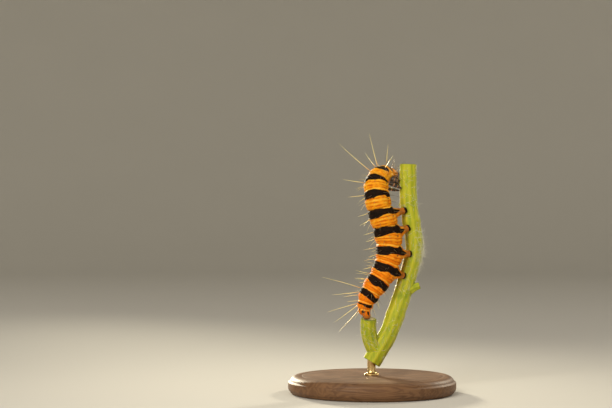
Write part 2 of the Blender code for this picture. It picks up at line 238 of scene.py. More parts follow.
def ringShell(rings, u=None, v=None):
    # a closed shell through rings of points, with a pole at each end, and its UVs for each face corner
    rings = np.asarray(rings, float)
    count, around = rings.shape[:2]
    u = np.linspace(0, 1, around + 1) if u is None else u
    v = np.linspace(0, 1, count) if v is None else v
    points = np.concatenate([rings.reshape(-1, 3), rings[[0, -1]].mean(axis=1)])
    faces, corners = ringFaces(count, around), []
    for i in range(count - 1):
        for j in range(around):
            corners += [(u[j], v[i]), (u[j + 1], v[i]), (u[j + 1], v[i + 1]), (u[j], v[i + 1])]
    pole, last = count * around, (count - 1) * around
    for j in range(around):
        after, middle = (j + 1) % around, (u[j] + u[j + 1]) / 2
        faces += [[after, j, pole], [last + j, last + after, pole + 1]]
        corners += [(u[j + 1], v[0]), (u[j], v[0]), (middle, 0.0),
                    (u[j], v[-1]), (u[j + 1], v[-1]), (middle, 1.0)]
    a, b, c = (points[[face[k] for face in faces]] for k in range(3))
    if np.einsum("ij,ij->i", a - points.mean(axis=0), np.cross(b - a, c - a)).sum() < 0:
        flipped, start = [], 0
        for face in faces:
            flipped += corners[start:start + len(face)][::-1]
            start += len(face)
        faces, corners = [face[::-1] for face in faces], flipped
    return points, faces, corners


def joinShells(shells):
    points, faces, corners, start = [], [], [], 0
    for shell in shells:
        points.append(shell[0])
        faces += [[k + start for k in face] for face in shell[1]]
        corners += shell[2]
        start += len(shell[0])
    return np.concatenate(points), faces, corners


def tubeRings(path, radii, around=24, flat=1.0, lead=(0.1, 1.0, 0.2)):
    # rings square to a path of points; flat narrows them across the lead direction
    path = np.asarray(path, float)
    ahead = unit(np.gradient(path, axis=0))
    across = unit(np.cross(ahead, lead))[:, None]
    other = np.cross(ahead, across[:, 0])[:, None]
    turn = circle(around)[None, :, None]
    ring = across * np.cos(turn) + other * np.sin(turn) * flat
    return path[:, None] + ring * np.asarray(radii, float)[:, None, None]


def bentTube(points, radii, steps, around, places=None, **shape):
    # a closed tube on a smooth line through a few points, with its radii at places from 0 to 1
    at = np.linspace(0, 1, steps)
    stations = np.linspace(0, 1, len(points))
    path = np.stack([smoothValues(at, stations, np.array(points)[:, k]) for k in range(3)], -1)
    places = np.linspace(0, 1, len(radii)) if places is None else places
    return ringShell(tubeRings(path, np.interp(at, places, radii), around, **shape))


# Node helpers. Those that take a socket add their node to that socket's own tree.

def addNode(tree, kind, inputs=None, **settings):
    made = tree.nodes.new(kind)
    for key, value in settings.items():
        setattr(made, key, value)
    for key, value in (inputs or {}).items():
        value = value.outputs[0] if isinstance(value, bpy.types.Node) else value
        if isinstance(value, bpy.types.NodeSocket):
            tree.links.new(value, made.inputs[key])
        else:
            made.inputs[key].default_value = value
    return made


def maths(operation, a, b=0.0):
    tree = (a if isinstance(a, bpy.types.NodeSocket) else b).id_data
    return addNode(tree, "ShaderNodeMath", {0: a, 1: b}, operation=operation).outputs[0]


def spread(value, low, high, toLow=0.0, toHigh=1.0):
    inputs = {"Value": value, "From Min": low, "From Max": high, "To Min": toLow, "To Max": toHigh}
    return addNode(value.id_data, "ShaderNodeMapRange", inputs, interpolation_type="SMOOTHSTEP").outputs[0]


def blend(share, a, b):
    a, b = [(*colour, 1) if isinstance(colour, tuple) else colour for colour in (a, b)]
    return addNode(share.id_data, "ShaderNodeMix", {0: share, 6: a, 7: b}, data_type="RGBA").outputs[2]


def paintOver(colour, *layers):
    # each layer has the value that drives it, where that starts and ends, its greatest share and its colour
    for value, low, high, share, over in layers:
        colour = blend(spread(value, low, high, 0.0, share), colour, over)
    return colour


def noiseValue(place, scale, detail=2.0, roughness=0.5, distortion=0.0):
    inputs = {"Vector": place, "Scale": scale, "Detail": detail, "Roughness": roughness,
              "Distortion": distortion}
    return addNode(place.id_data, "ShaderNodeTexNoise", inputs).outputs["Fac"]


def objectPlace(tree):
    return addNode(tree, "ShaderNodeTexCoord").outputs["Object"]


def stretchedPlace(tree, scale, rotation=(0.0, 0.0, 0.0)):
    inputs = {"Vector": objectPlace(tree), "Scale": scale, "Rotation": rotation}
    return addNode(tree, "ShaderNodeMapping", inputs).outputs[0]


def fieldOf(tree, name):
    return addNode(tree, "ShaderNodeAttribute", attribute_name=name).outputs["Fac"]


def makeGrainGroup():
    # fine grain over a finish: an uneven height, and a slow tone for colour and roughness
    tree = bpy.data.node_groups.new("fine grain", "ShaderNodeTree")
    for title in ("Grain Size", "Patch Size", "Height", "Tone"):
        way = "INPUT" if "Size" in title else "OUTPUT"
        tree.interface.new_socket(title, in_out=way, socket_type="NodeSocketFloat")
    given, place = addNode(tree, "NodeGroupInput").outputs, objectPlace(tree)
    grainScale, patchScale = (maths("DIVIDE", 1 / mm, given[title]) for title in ("Grain Size", "Patch Size"))
    cells = addNode(tree, "ShaderNodeTexVoronoi", {"Vector": place, "Scale": grainScale}).outputs["Distance"]
    height = maths("ADD", noiseValue(place, grainScale, 3, 0.6), maths("MULTIPLY", cells, 0.5))
    addNode(tree, "NodeGroupOutput", {"Height": height, "Tone": noiseValue(place, patchScale, 3, 0.55)})
    return tree


grainGroup = makeGrainGroup()


def startMaterial(name, grainSize, patchSize, constants):
    material = bpy.data.materials.new(name)
    material.use_nodes = True
    tree = material.node_tree
    for title, value in constants.items():
        tree.nodes["Principled BSDF"].inputs[title].default_value = value
    sizes = {"Grain Size": grainSize, "Patch Size": patchSize}
    grain = addNode(tree, "ShaderNodeGroup", sizes, node_tree=grainGroup).outputs
    return material, tree, grain["Height"], grain["Tone"]


def endMaterial(material, colour, roughness, height, bump):
    # without a roughness socket, the finish keeps the plain roughness of its constants
    tree = material.node_tree
    bumpy = addNode(tree, "ShaderNodeBump", {"Height": height, "Distance": bump * mm, "Strength": 1.0})
    sockets = {"Base Color": colour, "Roughness": roughness, "Normal": bumpy.outputs[0]}
    for title, socket in sockets.items():
        if socket is not None:
            tree.links.new(socket, tree.nodes["Principled BSDF"].inputs[title])
    return material


# The skin's finish

skinColours = {
    "front": (0.96, 0.42, 0.012),  # orange of the thorax and first rings of the abdomen
    "rear": (0.94, 0.25, 0.004),
    "deep": (0.60, 0.10, 0.002),  # random darker patches, and painted shade in the creases
    "pale": (1.0, 0.60, 0.07),  # painted highlight on the ridges and beside the folds
    "belly": (0.50, 0.24, 0.04),
    "band": (0.010, 0.005, 0.003),
    # lighter black: random patches, and painted highlight on the ridges of the bands
    "bandRidge": (0.035, 0.014, 0.007),
    "foot": (0.45, 0.15, 0.02),
    "mottle": (0.26, 0.055, 0.004),
    "neck": (0.58, 0.19, 0.012),  # the first segment, next to the head
    "socket": (0.22, 0.06, 0.006),  # round the root of each bristle
}


def makeSkinMaterial():
    material, tree, height, tone = startMaterial("larva skin", grainSize=0.065, patchSize=0.6, constants={
        "Subsurface Weight": 0.20, "Subsurface Scale": 0.35 * mm, "Subsurface Radius": (1.0, 0.40, 0.10),
        "Sheen Weight": 0.22, "Sheen Roughness": 0.14, "Sheen Tint": (1.0, 0.84, 0.5, 1),
        "Specular IOR Level": 0.10, "IOR": 1.40})
    place, bodyShare, foldLightShadeField = objectPlace(tree), fieldOf(tree, "bodyShare"), fieldOf(tree, "foldLightShade")
    orange = paintOver(
        blend(spread(bodyShare, 0.1, 0.95), skinColours["rear"], skinColours["front"]),
        (tone, 0.40, 0.68, 0.45, skinColours["deep"]),
        # painted highlight on the ridges and painted shade in the dents, both read from the skin's relief
        (foldLightShadeField, 0.1, 0.9, 0.65, skinColours["pale"]),
        (foldLightShadeField, -0.05, -0.8, 0.85, skinColours["deep"]),
        # painted highlight: a pale line beside each fold, where the fold catches the light
        (fieldOf(tree, "lip"), 0.1, 1.0, 0.6, skinColours["pale"]),
        (fieldOf(tree, "wart"), 0.72, 0.98, 0.75, skinColours["socket"]))
    for part in ("belly", "foot"):
        orange = blend(fieldOf(tree, part), orange, skinColours[part])
    mottling = spread(noiseValue(place, 3.5 / mm, 3, 0.6), 0.42, 0.6)
    mottled = blend(mottling, skinColours["neck"], skinColours["mottle"])
    orange = paintOver(orange, (bodyShare, 0.955, 0.985, 0.75, mottled))
    ragged = maths("MULTIPLY", noiseValue(place, 3.2 / mm, 3, 0.6), 0.16)
    mask = spread(maths("ADD", fieldOf(tree, "bandField"), ragged), 0.045, 0.125)
    # painted highlight on the bands' ridges, and random lighter patches
    black = paintOver(skinColours["band"], (foldLightShadeField, 0.1, 1.0, 0.8, skinColours["bandRidge"]),
                      (tone, 0.45, 0.75, 0.5, skinColours["bandRidge"]))
    rough = maths("ADD", spread(tone, 0.2, 0.8, 0.44, 0.62), maths("MULTIPLY", mask, 0.12))
    return endMaterial(material, blend(mask, orange, black), rough, height, bump=0.03)


# Markings on each segment: where its band stops on the way down the side, then where its front and rear
# edges lie along the segment at these angles from the middle of the back
bandAngles = (0, 30, 50, 65, 80, 95, 110, 125, 140, 152)
bands = (
    ("abdomen_9", 142, (.74, .75, .76, .75, .74, .79, .84, .92, .85, .7),
     (.54, .51, .48, .43, .34, .29, .24, .28, .38, .45)),
    ("abdomen_8", 160, (.89, .89, .90, .87, .83, .72, .64, .74, .72, .71),
     (.48, .43, .39, .36, .30, .23, .18, .14, .18, .27)),
    ("abdomen_7", 158, (.84, .86, .85, .86, .87, .85, .83, .82, .84, .88),
     (.47, .39, .32, .30, .41, .44, .40, .40, .42, .45)),
    ("abdomen_6", 152, (.90, .87, .88, .885, .87, .82, .85, .86, .81, .78),
     (.34, .28, .28, .39, .47, .44, .42, .41, .45, .54)),
    ("abdomen_5", 150, (1.01, 1.02, 1.01, .97, .90, .895, .98, .86, .77, .68),
     (.40, .375, .42, .53, .55, .53, .51, .51, .50, .50)),
    ("abdomen_4", 148, (1.11, 1.13, 1.11, 1.05, 1.0, .97, 1.03, .88, .72, .6),
     (.59, .62, .66, .68, .65, .60, .57, .54, .50, .48)),
    ("abdomen_3", 146, (1.06, 1.07, 1.05, .99, .95, .93, .95, .93, .75, .6),
     (.64, .63, .68, .69, .65, .57, .54, .50, .46, .44)),
    ("abdomen_2", 128, (.99, .985, .95, .90, .89, .86, .78, .65, .55, .5),
     (.60, .59, .66, .65, .65, .54, .53, .50, .48, .46)),
    ("abdomen_1", 130, (.99, .98, .96, .93, .95, 1.0, 1.03, 1.05, 1.0, 1.0),
     (.60, .53, .59, .61, .60, .60, .62, .66, .7, .75)),
    ("metathorax", 98, (1.14, 1.15, 1.17, 1.15, 1.13, 1.08, 1.0, 1.0, 1.0, 1.0),
     (.62, .50, .54, .66, .84, .98, 1.0, 1.0, 1.0, 1.0)),
    ("mesothorax", 102, (.98, .98, .98, .97, .96, .95, .92, .9, .9, .9),
     (.46, .42, .40, .40, .46, .60, .8, .9, .9, .9)),
)
bandRounding = (0.42, 0.75)  # how far a band's corners are rounded off, and over what length
# Spots on the last ring of the tail: distance along the body, angle and radius
tailSpots = ((0.66, 58, 0.21), (0.60, 108, 0.18), (0.88, 22, 0.14))

skinLook = {
    "columns": 208,
    "ringStep": 0.0635,
    "bellyFlat": 0.92,
    "collar": (0.25, 0.42, 0.34),  # from where it narrows before the head, over what length, how much
    "foldShifts": (0, 0, 0, -0.05, 0, 0.22, 0.50, 0.33, 0.15, 0.15, 0.40, 0.05, 0),  # ahead, on the back
    "foldDepth": 0.135,  # of the radius
    "foldWidths": (0.10, 0.40),
    "wrinkles": ((0.16, 0.042, 0.036), (0.33, 0.036, 0.032), (0.52, 0.016, 0.024), (0.68, 0.024, 0.028),
                 (0.86, 0.020, 0.024)),  # share of the segment, depth, width
    "sideLines": ((112, 8, 0.05), (99, 5, -0.055)),  # angle, width, height of the ridge and the groove
    "lumps": 0.035,
    "crinkles": 0.016,
    "fineLines": 0.018,
    "wartHeight": 0.055,
    "wartRadius": 0.11,
}


def downShare(angle):
    # how far below the middle a place is, with the belly a little flatter than the back
    down = -np.cos(angle)
    return np.where(down > 0, down * skinLook["bellyFlat"], down)


def trunkShape(s, angle):
    # places on the plain body, the way out of it and its radius
    width, height = bodyHalves(s)
    fromEnd = np.clip(1 - s / bodyRows[0, 0], 0, 1)
    before, over, narrowing = skinLook["collar"]
    collar = np.clip((s - trunkEnd + before) / over, 0, 1)
    taper = np.sqrt(np.clip(1 - fromEnd**2, 0, 1)) * (1 - narrowing * (1 - np.sqrt(1 - collar**2)))
    centre, ahead, belly, side = lineFrame(bodyLine, s)
    place = centre + side * (width * taper * np.sin(angle))[..., None]
    place = place + belly * (height * taper * downShare(angle))[..., None]
    out = side * np.sin(angle)[..., None] - belly * np.cos(angle)[..., None]
    return place, out * np.sqrt(1 - fromEnd**2)[..., None] - ahead * fromEnd[..., None], width * taper


def runningTotal(density):
    return np.concatenate([[0], np.cumsum((density[1:] + density[:-1]) / 2)])


def skinStations():
    # rings closer together over the prolegs and the round tail, columns closer over the prolegs
    cap = 1 - np.cos(np.radians(np.linspace(2.5, 90, 26)))
    fine = np.arange(cap[-1], trunkEnd + 0.17, 0.01)
    feet = [bodyLine["middles"][k] + 0.15 for k in (4, 5, 6, 7)]
    total = runningTotal(1 + 0.55 * sum(hump(fine - foot, 0.7) for foot in feet)) * 0.01
    rings = np.interp(np.arange(1, int(total[-1] / skinLook["ringStep"])) * skinLook["ringStep"], total, fine)
    around = np.linspace(-180, 180, 3601)
    total = runningTotal(1 + hump(np.abs(around) - 142, 22))
    share = np.arange(skinLook["columns"]) / skinLook["columns"]
    return np.concatenate([cap, rings]), np.interp(share, total / total[-1], np.radians(around))


def bandFieldAt(s, angle, radius):
    # how far inside a black band a place is, in millimetres
    field = np.full(s.shape, -1.0)
    turn = np.abs(np.degrees(angle))
    for name, end, *edges in bands:
        front, rear = (onSegment(bodyNames.index(name), np.interp(turn, bandAngles, edge)) for edge in edges)
        stop = np.radians(end - turn) * radius
        rounding = bandRounding[0] * np.clip(1 - stop / bandRounding[1], 0, 2) ** 2
        sideways = np.minimum(front - s, s - rear) - rounding
        field = np.maximum(field, np.minimum(sideways, stop))
    for place, spot, size in tailSpots:
        away = np.hypot(s - place, (np.abs(angle) - np.radians(spot)) * radius)
        field = np.maximum(field, size - away)
    return field


# Bristles. Roots on every segment: angle from the middle of the back, share along the segment.
# Lengths: from the tail forward. Shown, those in the photo: distance along the body, angle, length, and the
# way in x, y and z.

bristleLook = {
    "roots": ((20, 0.70), (33, 0.40), (62, 0.60), (74, 0.76), (112, 0.33), (116, 0.64), (131, 0.30),
              (165, 0.5)),
    "lengths": (1.9, 1.9, 1.8, 1.6, 1.5, 1.4, 1.4, 1.4, 1.5, 1.7, 2.0, 2.2, 1.9),
    "lengthSpread": (0.72, 1.25), "sunk": 0.06,
    "shadedSide": (12, 125), "halfShadedSide": (-125, -60),  # angles between which they are darkened as painted shade
    "shown": (
        (21.39, -22, 5.7, (-4.5, 0.4, 3.5)), (22.03, 6, 4.6, (-1.3, -0.6, 4.4)),
        (21.89, -2, 2.8, (-1.8, -0.8, 2.1)), (23.00, 30, 3.2, (0.1, -1.0, 3.2)),
        (22.15, 51, 2.5, (1.3, -1.4, 2.0)), (20.09, -40, 3.1, (-3.1, 0.3, 0.4)),
        (18.62, -44, 2.4, (-2.3, 0.2, -0.2)), (3.39, -16, 5.4, (-5.0, -0.5, 1.75)),
        (2.89, -17, 4.0, (-3.9, 0.3, -0.6)), (2.50, -17, 2.2, (-2.0, -0.3, -0.1)),
        (1.88, -16, 1.7, (-1.5, -0.3, -0.2)), (1.51, -12, 4.4, (-4.1, -0.6, -1.0)),
        (1.40, 4, 4.7, (-3.6, -0.9, -2.8)), (0.87, 16, 4.5, (-2.9, -1.0, -3.2)),
        (16.35, -40, 1.6, (-1.4, -0.2, -0.6)), (15.44, -29, 1.6, (-1.4, 0.2, -0.7)),
        (13.47, -36, 1.6, (-1.5, -0.2, -0.4)), (12.28, -30, 1.5, (-1.3, 0.2, -0.4)),
        (10.73, -30, 2.0, (-1.9, 0.1, -0.4)), (9.30, -18, 1.3, (-1.1, -0.2, -0.3)),
        (8.60, -27, 1.9, (-1.9, 0.2, -0.1)), (6.88, -23, 1.5, (-1.4, 0.1, -0.3)),
        (5.64, -19, 2.0, (-1.9, -0.2, 0.4)), (4.65, -10, 1.5, (-1.4, 0.1, 0.0)),
        (4.24, -2, 0.9, (-0.7, -0.2, -0.1)),
    ),
}


def bristleRoots():
    chance = np.random.default_rng(11)
    roots = []
    for k in range(13):
        for angle, share in bristleLook["roots"]:
            for side, _ in sides:
                s = onSegment(k, share + chance.normal(0, 0.03))
                turn = side * math.radians(angle + chance.normal(0, 2.5))
                prolegHere = angle > 125 and 4 <= k <= 7
                shownHere = angle < 50 and k in (0, 1, 2, 10)  # the shown ones stand here
                if not (prolegHere or shownHere or (angle > 125 and k > 9)):
                    roots.append((max(s, 0.25), turn, k))
    return roots


# Legs that grow out of the skin. The reach is of the patch that each takes, and its sole is a share of that.

legEdge = 0.93  # where a leg starts in its patch
legMixWidth = 0.24  # the part of the patch over which the skin turns into the leg
prolegLook = {
    "segments": {"abdomen_6": 0.1, "abdomen_5": 0.55, "abdomen_4": 0.5, "abdomen_3": 0.3},  # lift up the stem
    "ahead": 0.15, "spread": 38, "straddle": 24, "depth": 0.55,
    "reach": 0.98, "soleShare": 0.40, "sunk": 0.02, "radii": (0.74, 0.68, 0.60, 0.53, 0.47, 0.46, 0.50, 0.47),
    "dome": 0.06, "foldSize": 0.035,
}
claspLook = {
    "place": 0.75, "spread": 66, "depth": 0.60, "foot": (-0.25, 0.60),
    "reach": 0.62, "soleShare": 0.42, "radii": (0.55, 0.52, 0.47, 0.42, 0.42, 0.40),
    "dome": 0.05, "foldSize": 0.03,
}


def growLeg(skin, root, sole, look):
    # turns a round patch of the skin into a leg that reaches from the body to its sole
    place = skin["place"]
    way = unit(sole - root)
    beyond = (place - root) @ way
    off = np.linalg.norm(place - root - beyond[..., None] * way, axis=-1) + np.where(beyond > 0.1, 0, 99)
    i, j = np.unravel_index(np.argmin(off), off.shape)
    base = place[i, j]
    alongBody = unit(place[i + 3, j] - place[i - 3, j])
    roundBody = unit(place[i, (j + 3) % place.shape[1]] - place[i, j - 3])
    first = squareTo(alongBody, way)
    second = np.cross(way, first)
    second = second if second @ roundBody > 0 else -second
    offset = place - base
    share = np.linalg.norm(offset, axis=-1) / look["reach"]
    turn = np.arctan2(offset @ roundBody, offset @ alongBody)
    inside = share < 1
    share, turn = share[inside], turn[inside]
    rim = look["soleShare"]
    down = np.clip((legEdge - share) / (legEdge - rim), 0, 1)
    within = np.clip(share / rim, 0, 1)
    width = np.interp(down, np.linspace(0, 1, len(look["radii"])), look["radii"])
    width = np.where(share < rim, look["radii"][-1] * within, width)
    ripple = look["foldSize"] * np.cos(down * 5 * np.pi) * smoothStep(down, 0.05, 0.3) * (share > rim)
    width = width * (1 + ripple)
    reach = np.linalg.norm(sole - base)
    height = np.where(share < rim, reach + look["dome"] * (1 - within**2), reach * down)
    leg = base + way * height[:, None] + first * (width * np.cos(turn))[:, None]
    leg = leg + second * (width * np.sin(turn))[:, None]
    mix = smoothStep(1 - share, 0.0, legMixWidth)[:, None]
    skin["place"][inside] = place[inside] * (1 - mix) + leg * mix
    skin["legDown"][inside] = np.maximum(skin["legDown"][inside], np.where(share < rim, 1.0, down))
    skin["legMix"][inside] = np.maximum(skin["legMix"][inside], mix[:, 0])
    return {"first": first, "second": second, "sole": sole}


def keepOff(points, line, radius, gap):
    # moves what would lie inside a round stalk out to its surface
    s = nearestOn(line, points)
    offset = points - pointOn(line, s)
    far = np.linalg.norm(offset, axis=1)
    wanted = radius(s) + gap
    push = np.where((far < wanted) & (s > 0.05) & (s < line["length"] - 0.05), wanted - far, 0)
    return points + unit(offset) * push[:, None]


def bodyRoot(s, spread, side, inside):
    # where a leg starts inside the body
    width, height = bodyHalves(s)
    angle = math.pi - side * math.radians(spread)
    centre, _, belly, across = lineFrame(bodyLine, s)
    return centre + across * width * inside * math.sin(angle) + belly * height * inside * downShare(angle)


def stemHold(root, turn, lift, inside):
    # where a leg meets the stem, and the way out of the stem there
    s = float(nearestOn(stemLine, root)[0]) + lift
    centre, up = pointOn(stemLine, s), forwardOn(stemLine, s)
    facing = squareTo(root - centre, up)
    angle = math.radians(turn)
    facing = facing * math.cos(angle) + np.cross(up, facing) * math.sin(angle)
    return centre + facing * (stemRadius(s) - inside), facing


def growSkinLegs(skin):
    plans = []
    for name, lift in prolegLook["segments"].items():
        middle = bodyLine["middles"][bodyNames.index(name)] + prolegLook["ahead"]
        for side, word in sides:
            root = bodyRoot(middle, prolegLook["spread"], side, prolegLook["depth"])
            hold = stemHold(root, side * prolegLook["straddle"], lift, prolegLook["sunk"])
            plans.append((name.replace("abdomen", "proleg") + "_" + word, prolegLook, root, *hold))
    for side, word in sides:
        root = bodyRoot(claspLook["place"], claspLook["spread"], side, claspLook["depth"])
        alongX, toSide = claspLook["foot"]
        sole = shootTop + np.array((alongX, -side * toSide, 0.03))
        plans.append(("anal_proleg_" + word, claspLook, root, sole, np.array((0.0, 0.0, 1.0))))
    return {name: {**growLeg(skin, root, sole, look), "facing": facing}
            for name, look, root, sole, facing in plans}


def skinRelief(ringS, angle, columns, place, radius):
    # how far the skin stands out, and the fields that its finish reads

    def tubePlace(along, around):
        return np.stack([ringS * along, np.cos(angle) * around, np.sin(angle) * around], -1)

    shifts = np.array(skinLook["foldShifts"])[:, None] * np.clip(np.cos(columns), 0, 1)[None] ** 0.7
    folds = bodyLine["ends"][:13, None] + shifts
    segment = (ringS[None] >= folds[1:, None, :]).sum(axis=0)
    slow = tubePlace(2.2, 1.6)
    sway = wobble(slow, 0.8, 3.1)
    relief, foldLightShade, warts = (np.zeros_like(ringS) for _ in range(3))
    nearFold = np.full(ringS.shape, 9.0)
    narrow, wide = skinLook["foldWidths"]
    for fold in folds[1:]:
        away = ringS - fold[None] - 0.05 * sway
        relief -= skinLook["foldDepth"] * radius * (0.6 * hump(away, narrow) + 0.4 * hump(away, wide))
        nearFold = np.where(np.abs(away) < np.abs(nearFold), away, nearFold)
    low = np.take_along_axis(folds, segment, axis=0)
    high = np.take_along_axis(np.vstack([folds[1:], folds[-1:] * 0 + trunkEnd]), segment, axis=0)
    share = (ringS - low) / (high - low)
    ringed = smoothStep(ringS, 1.8, 3.0) * (1 - 0.5 * smoothStep(ringS, 20, 22))
    for number, (at, depth, width) in enumerate(skinLook["wrinkles"]):
        broken = ringed * np.clip(0.65 + 0.6 * wobble(slow, 1.3, 20.0 + number), 0.1, 1.2)
        away = share + 0.035 * sway - at
        dent, ridge = hump(away, width) * broken, hump(away - 0.085, 0.045) * broken
        relief += depth * (0.45 * ridge - dent)
        foldLightShade += 0.8 * ridge - 0.9 * dent
    turn = np.abs(np.degrees(angle))
    swelling = np.sqrt(np.clip(np.sin(np.pi * np.clip(share, 0, 1)), 0, 1))
    for middle, width, rise in skinLook["sideLines"]:
        relief += rise * hump(turn - middle, width) * swelling
    relief += skinLook["lumps"] * wobble(place, 0.8, 7.7, 2)
    crinkle = wobble(tubePlace(4.5, 2.2), 1.0, 13.0, 2)
    fineLines = np.clip(1 - np.abs(wobble(tubePlace(3.4, 1.9), 1.0, 57.0)) * 5, 0, 1) ** 2
    relief += skinLook["crinkles"] * crinkle - skinLook["fineLines"] * fineLines
    foldLightShade += 0.5 * crinkle - 0.35 * fineLines
    roots = [(s, turn) for s, turn, _ in bristleRoots()]
    roots += [(s, math.radians(degrees)) for s, degrees, _, _ in bristleLook["shown"]]
    for rootS, rootAngle in roots:
        rows = np.abs(ringS[:, 0] - rootS) < 0.45
        away = np.hypot(ringS[rows] - rootS, (angle[rows] - rootAngle) * radius[rows])
        warts[rows] = np.maximum(warts[rows], hump(away, skinLook["wartRadius"]))
    relief += skinLook["wartHeight"] * warts
    relief *= smoothStep(ringS, 0.0, 0.25) * (1 - smoothStep(ringS, trunkEnd - 0.05, trunkEnd + 0.1))
    return relief, {
        "bandField": bandFieldAt(ringS, angle, np.maximum(radius, 0.2)) + 0.05 * wobble(slow, 2.0, 31.0),
        "bodyShare": ringS / trunkEnd,
        # painted light and shade that follow the relief: up on the ridges, down in the dents and fine lines
        "foldLightShade": np.clip(foldLightShade, -1, 1),
        # painted highlight along the lip beside each fold
        "lip": hump(nearFold + 0.10, 0.09) * (turn < 150),
        "belly": smoothStep(turn, 138, 172) * 0.75,
        "wart": warts,
    }


def makeSkin():
    s, columns = skinStations()
    ringS, angle = np.meshgrid(s, columns, indexing="ij")
    place, out, radius = trunkShape(ringS, angle)
    relief, fields = skinRelief(ringS, angle, columns, place, radius)
    skin = {
        "s": s, "columns": columns, "place": place + out * relief[..., None],
        "legDown": np.zeros_like(ringS), "legMix": np.zeros_like(ringS),
        "u": np.append((columns + math.pi) / (2 * math.pi), 1.0), "v": 0.004 + 0.992 * s / s[-1],
    }
    skin["feet"] = growSkinLegs(skin)
    mix, down = skin["legMix"], skin["legDown"]
    skin["place"][mix > 0.02] = keepOff(skin["place"][mix > 0.02], stemLine, stemRadius, 0.03)
    shootLevel = shootTop[2] + 0.03
    skin["place"][(skin["place"][..., 2] < shootLevel) & (mix > 0.5), 2] = shootLevel
    onLeg = np.maximum(fields["bandField"] - 1.4 * np.clip(down - 0.12, 0, 1), (down - 0.78) * 1.2)
    fields["bandField"] = np.where(mix > 0.02, onLeg, fields["bandField"])
    fields["belly"] = fields["belly"] * (1 - mix)
    fields["foot"] = mix * smoothStep(down, 0.05, 0.4)
    for title, grid in fields.items():
        fields[title] = np.concatenate([grid.ravel(), [grid[0].mean(), grid[-1].mean()]])
    shell = ringShell(skin["place"], skin["u"], skin["v"])
    flesh = [*bodyNames[:13], *skin["feet"]]
    makePiece("larva_skin_whole", shell, makeSkinMaterial(), "larva_skin", flesh, fields, uvMap=True)
    print("larva skin:", len(shell[1]), "faces")
    return skin


def skinAt(skin, s, angle):
    # a place on the finished skin, the way out of it and ahead along it there, and its UV
    grid, across = skin["place"], len(skin["columns"])
    row = np.interp(s, skin["s"], np.arange(len(grid)))
    column = np.interp(angle, skin["columns"], np.arange(across))
    i, j = int(np.clip(row, 1, len(grid) - 3)), int(column)
    a, b = row - i, column - j
    point = ((grid[i, j] * (1 - b) + grid[i, (j + 1) % across] * b) * (1 - a)
             + (grid[i + 1, j] * (1 - b) + grid[i + 1, (j + 1) % across] * b) * a)
    alongBody = grid[min(i + 3, len(grid) - 1), j] - grid[max(i - 2, 0), j]
    roundBody = grid[i, (j + 3) % across] - grid[i, j - 2]
    normal = unit(np.cross(roundBody, alongBody))
    normal = normal if normal @ (point - pointOn(bodyLine, s)) > 0 else -normal
    uv = (np.interp(column, range(across), skin["u"][:-1]), np.interp(row, range(len(grid)), skin["v"]))
    return point, normal, unit(alongBody), uv


# Stalks, bristles, hairs, hooks and breathing holes, by Geometry Nodes

def makeTree(name, inputs):
    tree = bpy.data.node_groups.new(name, "GeometryNodeTree")
    for title, kind in {**inputs, "Finish": "Material"}.items():
        tree.interface.new_socket(title, in_out="INPUT", socket_type="NodeSocket" + kind)
    tree.interface.new_socket("Result", in_out="OUTPUT", socket_type="NodeSocketGeometry")
    return tree, addNode(tree, "NodeGroupInput").outputs


def endTree(tree, given, geometry):
    for kind, inputs in (("SetShadeSmooth", {}), ("RealizeInstances", {}),
                         ("SetMaterial", {"Material": given["Finish"]})):
        geometry = addNode(tree, "GeometryNode" + kind, {"Geometry": geometry, **inputs})
    addNode(tree, "NodeGroupOutput", {"Result": geometry})
    return tree


def namedField(tree, name, kind="FLOAT"):
    return addNode(tree, "GeometryNodeInputNamedAttribute", {"Name": name}, data_type=kind)


def makeTubeTree():
    tree, given = makeTree("tubes along paths", {
        "Paths": "Geometry", "Points Around": "Int", "Ribs": "Int", "Rib Height": "Float"})
    loop = addNode(tree, "GeometryNodeCurvePrimitiveCircle", {
        "Resolution": given["Points Around"], "Radius": 1.0})
    around = addNode(tree, "GeometryNodeSplineParameter").outputs["Factor"]
    marked = addNode(tree, "GeometryNodeStoreNamedAttribute", {
        "Geometry": loop, "Name": "around", "Value": around}, data_type="FLOAT")
    wave = maths("COSINE", maths("MULTIPLY", maths("MULTIPLY", around, given["Ribs"]), 2 * math.pi))
    offset = addNode(tree, "ShaderNodeVectorMath", {
        0: addNode(tree, "GeometryNodeInputPosition"),
        "Scale": maths("MULTIPLY", wave, given["Rib Height"])}, operation="SCALE")
    ribbed = addNode(tree, "GeometryNodeSetPosition", {"Geometry": marked, "Offset": offset})
    line = addNode(tree, "GeometryNodeMeshToCurve", {"Mesh": given["Paths"]})
    return endTree(tree, given, addNode(tree, "GeometryNodeCurveToMesh", {
        "Curve": line, "Profile Curve": ribbed, "Scale": namedField(tree, "girth"), "Fill Caps": True}))


def makeSettingTree():
    tree, given = makeTree("shapes set on points", {"Points": "Geometry", "Shape": "Object"})
    shape = addNode(tree, "GeometryNodeObjectInfo", {"Object": given["Shape"]}).outputs["Geometry"]
    upright = addNode(tree, "FunctionNodeAlignRotationToVector", {
        "Vector": namedField(tree, "aim", "FLOAT_VECTOR")}, axis="Z")
    rotation = addNode(tree, "FunctionNodeAlignRotationToVector", {
        "Rotation": upright, "Vector": namedField(tree, "lead", "FLOAT_VECTOR")}, axis="X", pivot_axis="Z")
    return endTree(tree, given, addNode(tree, "GeometryNodeInstanceOnPoints", {
        "Points": given["Points"], "Instance": shape, "Rotation": rotation,
        "Scale": namedField(tree, "size")}))


tubeTree, settingTree = makeTubeTree(), makeSettingTree()


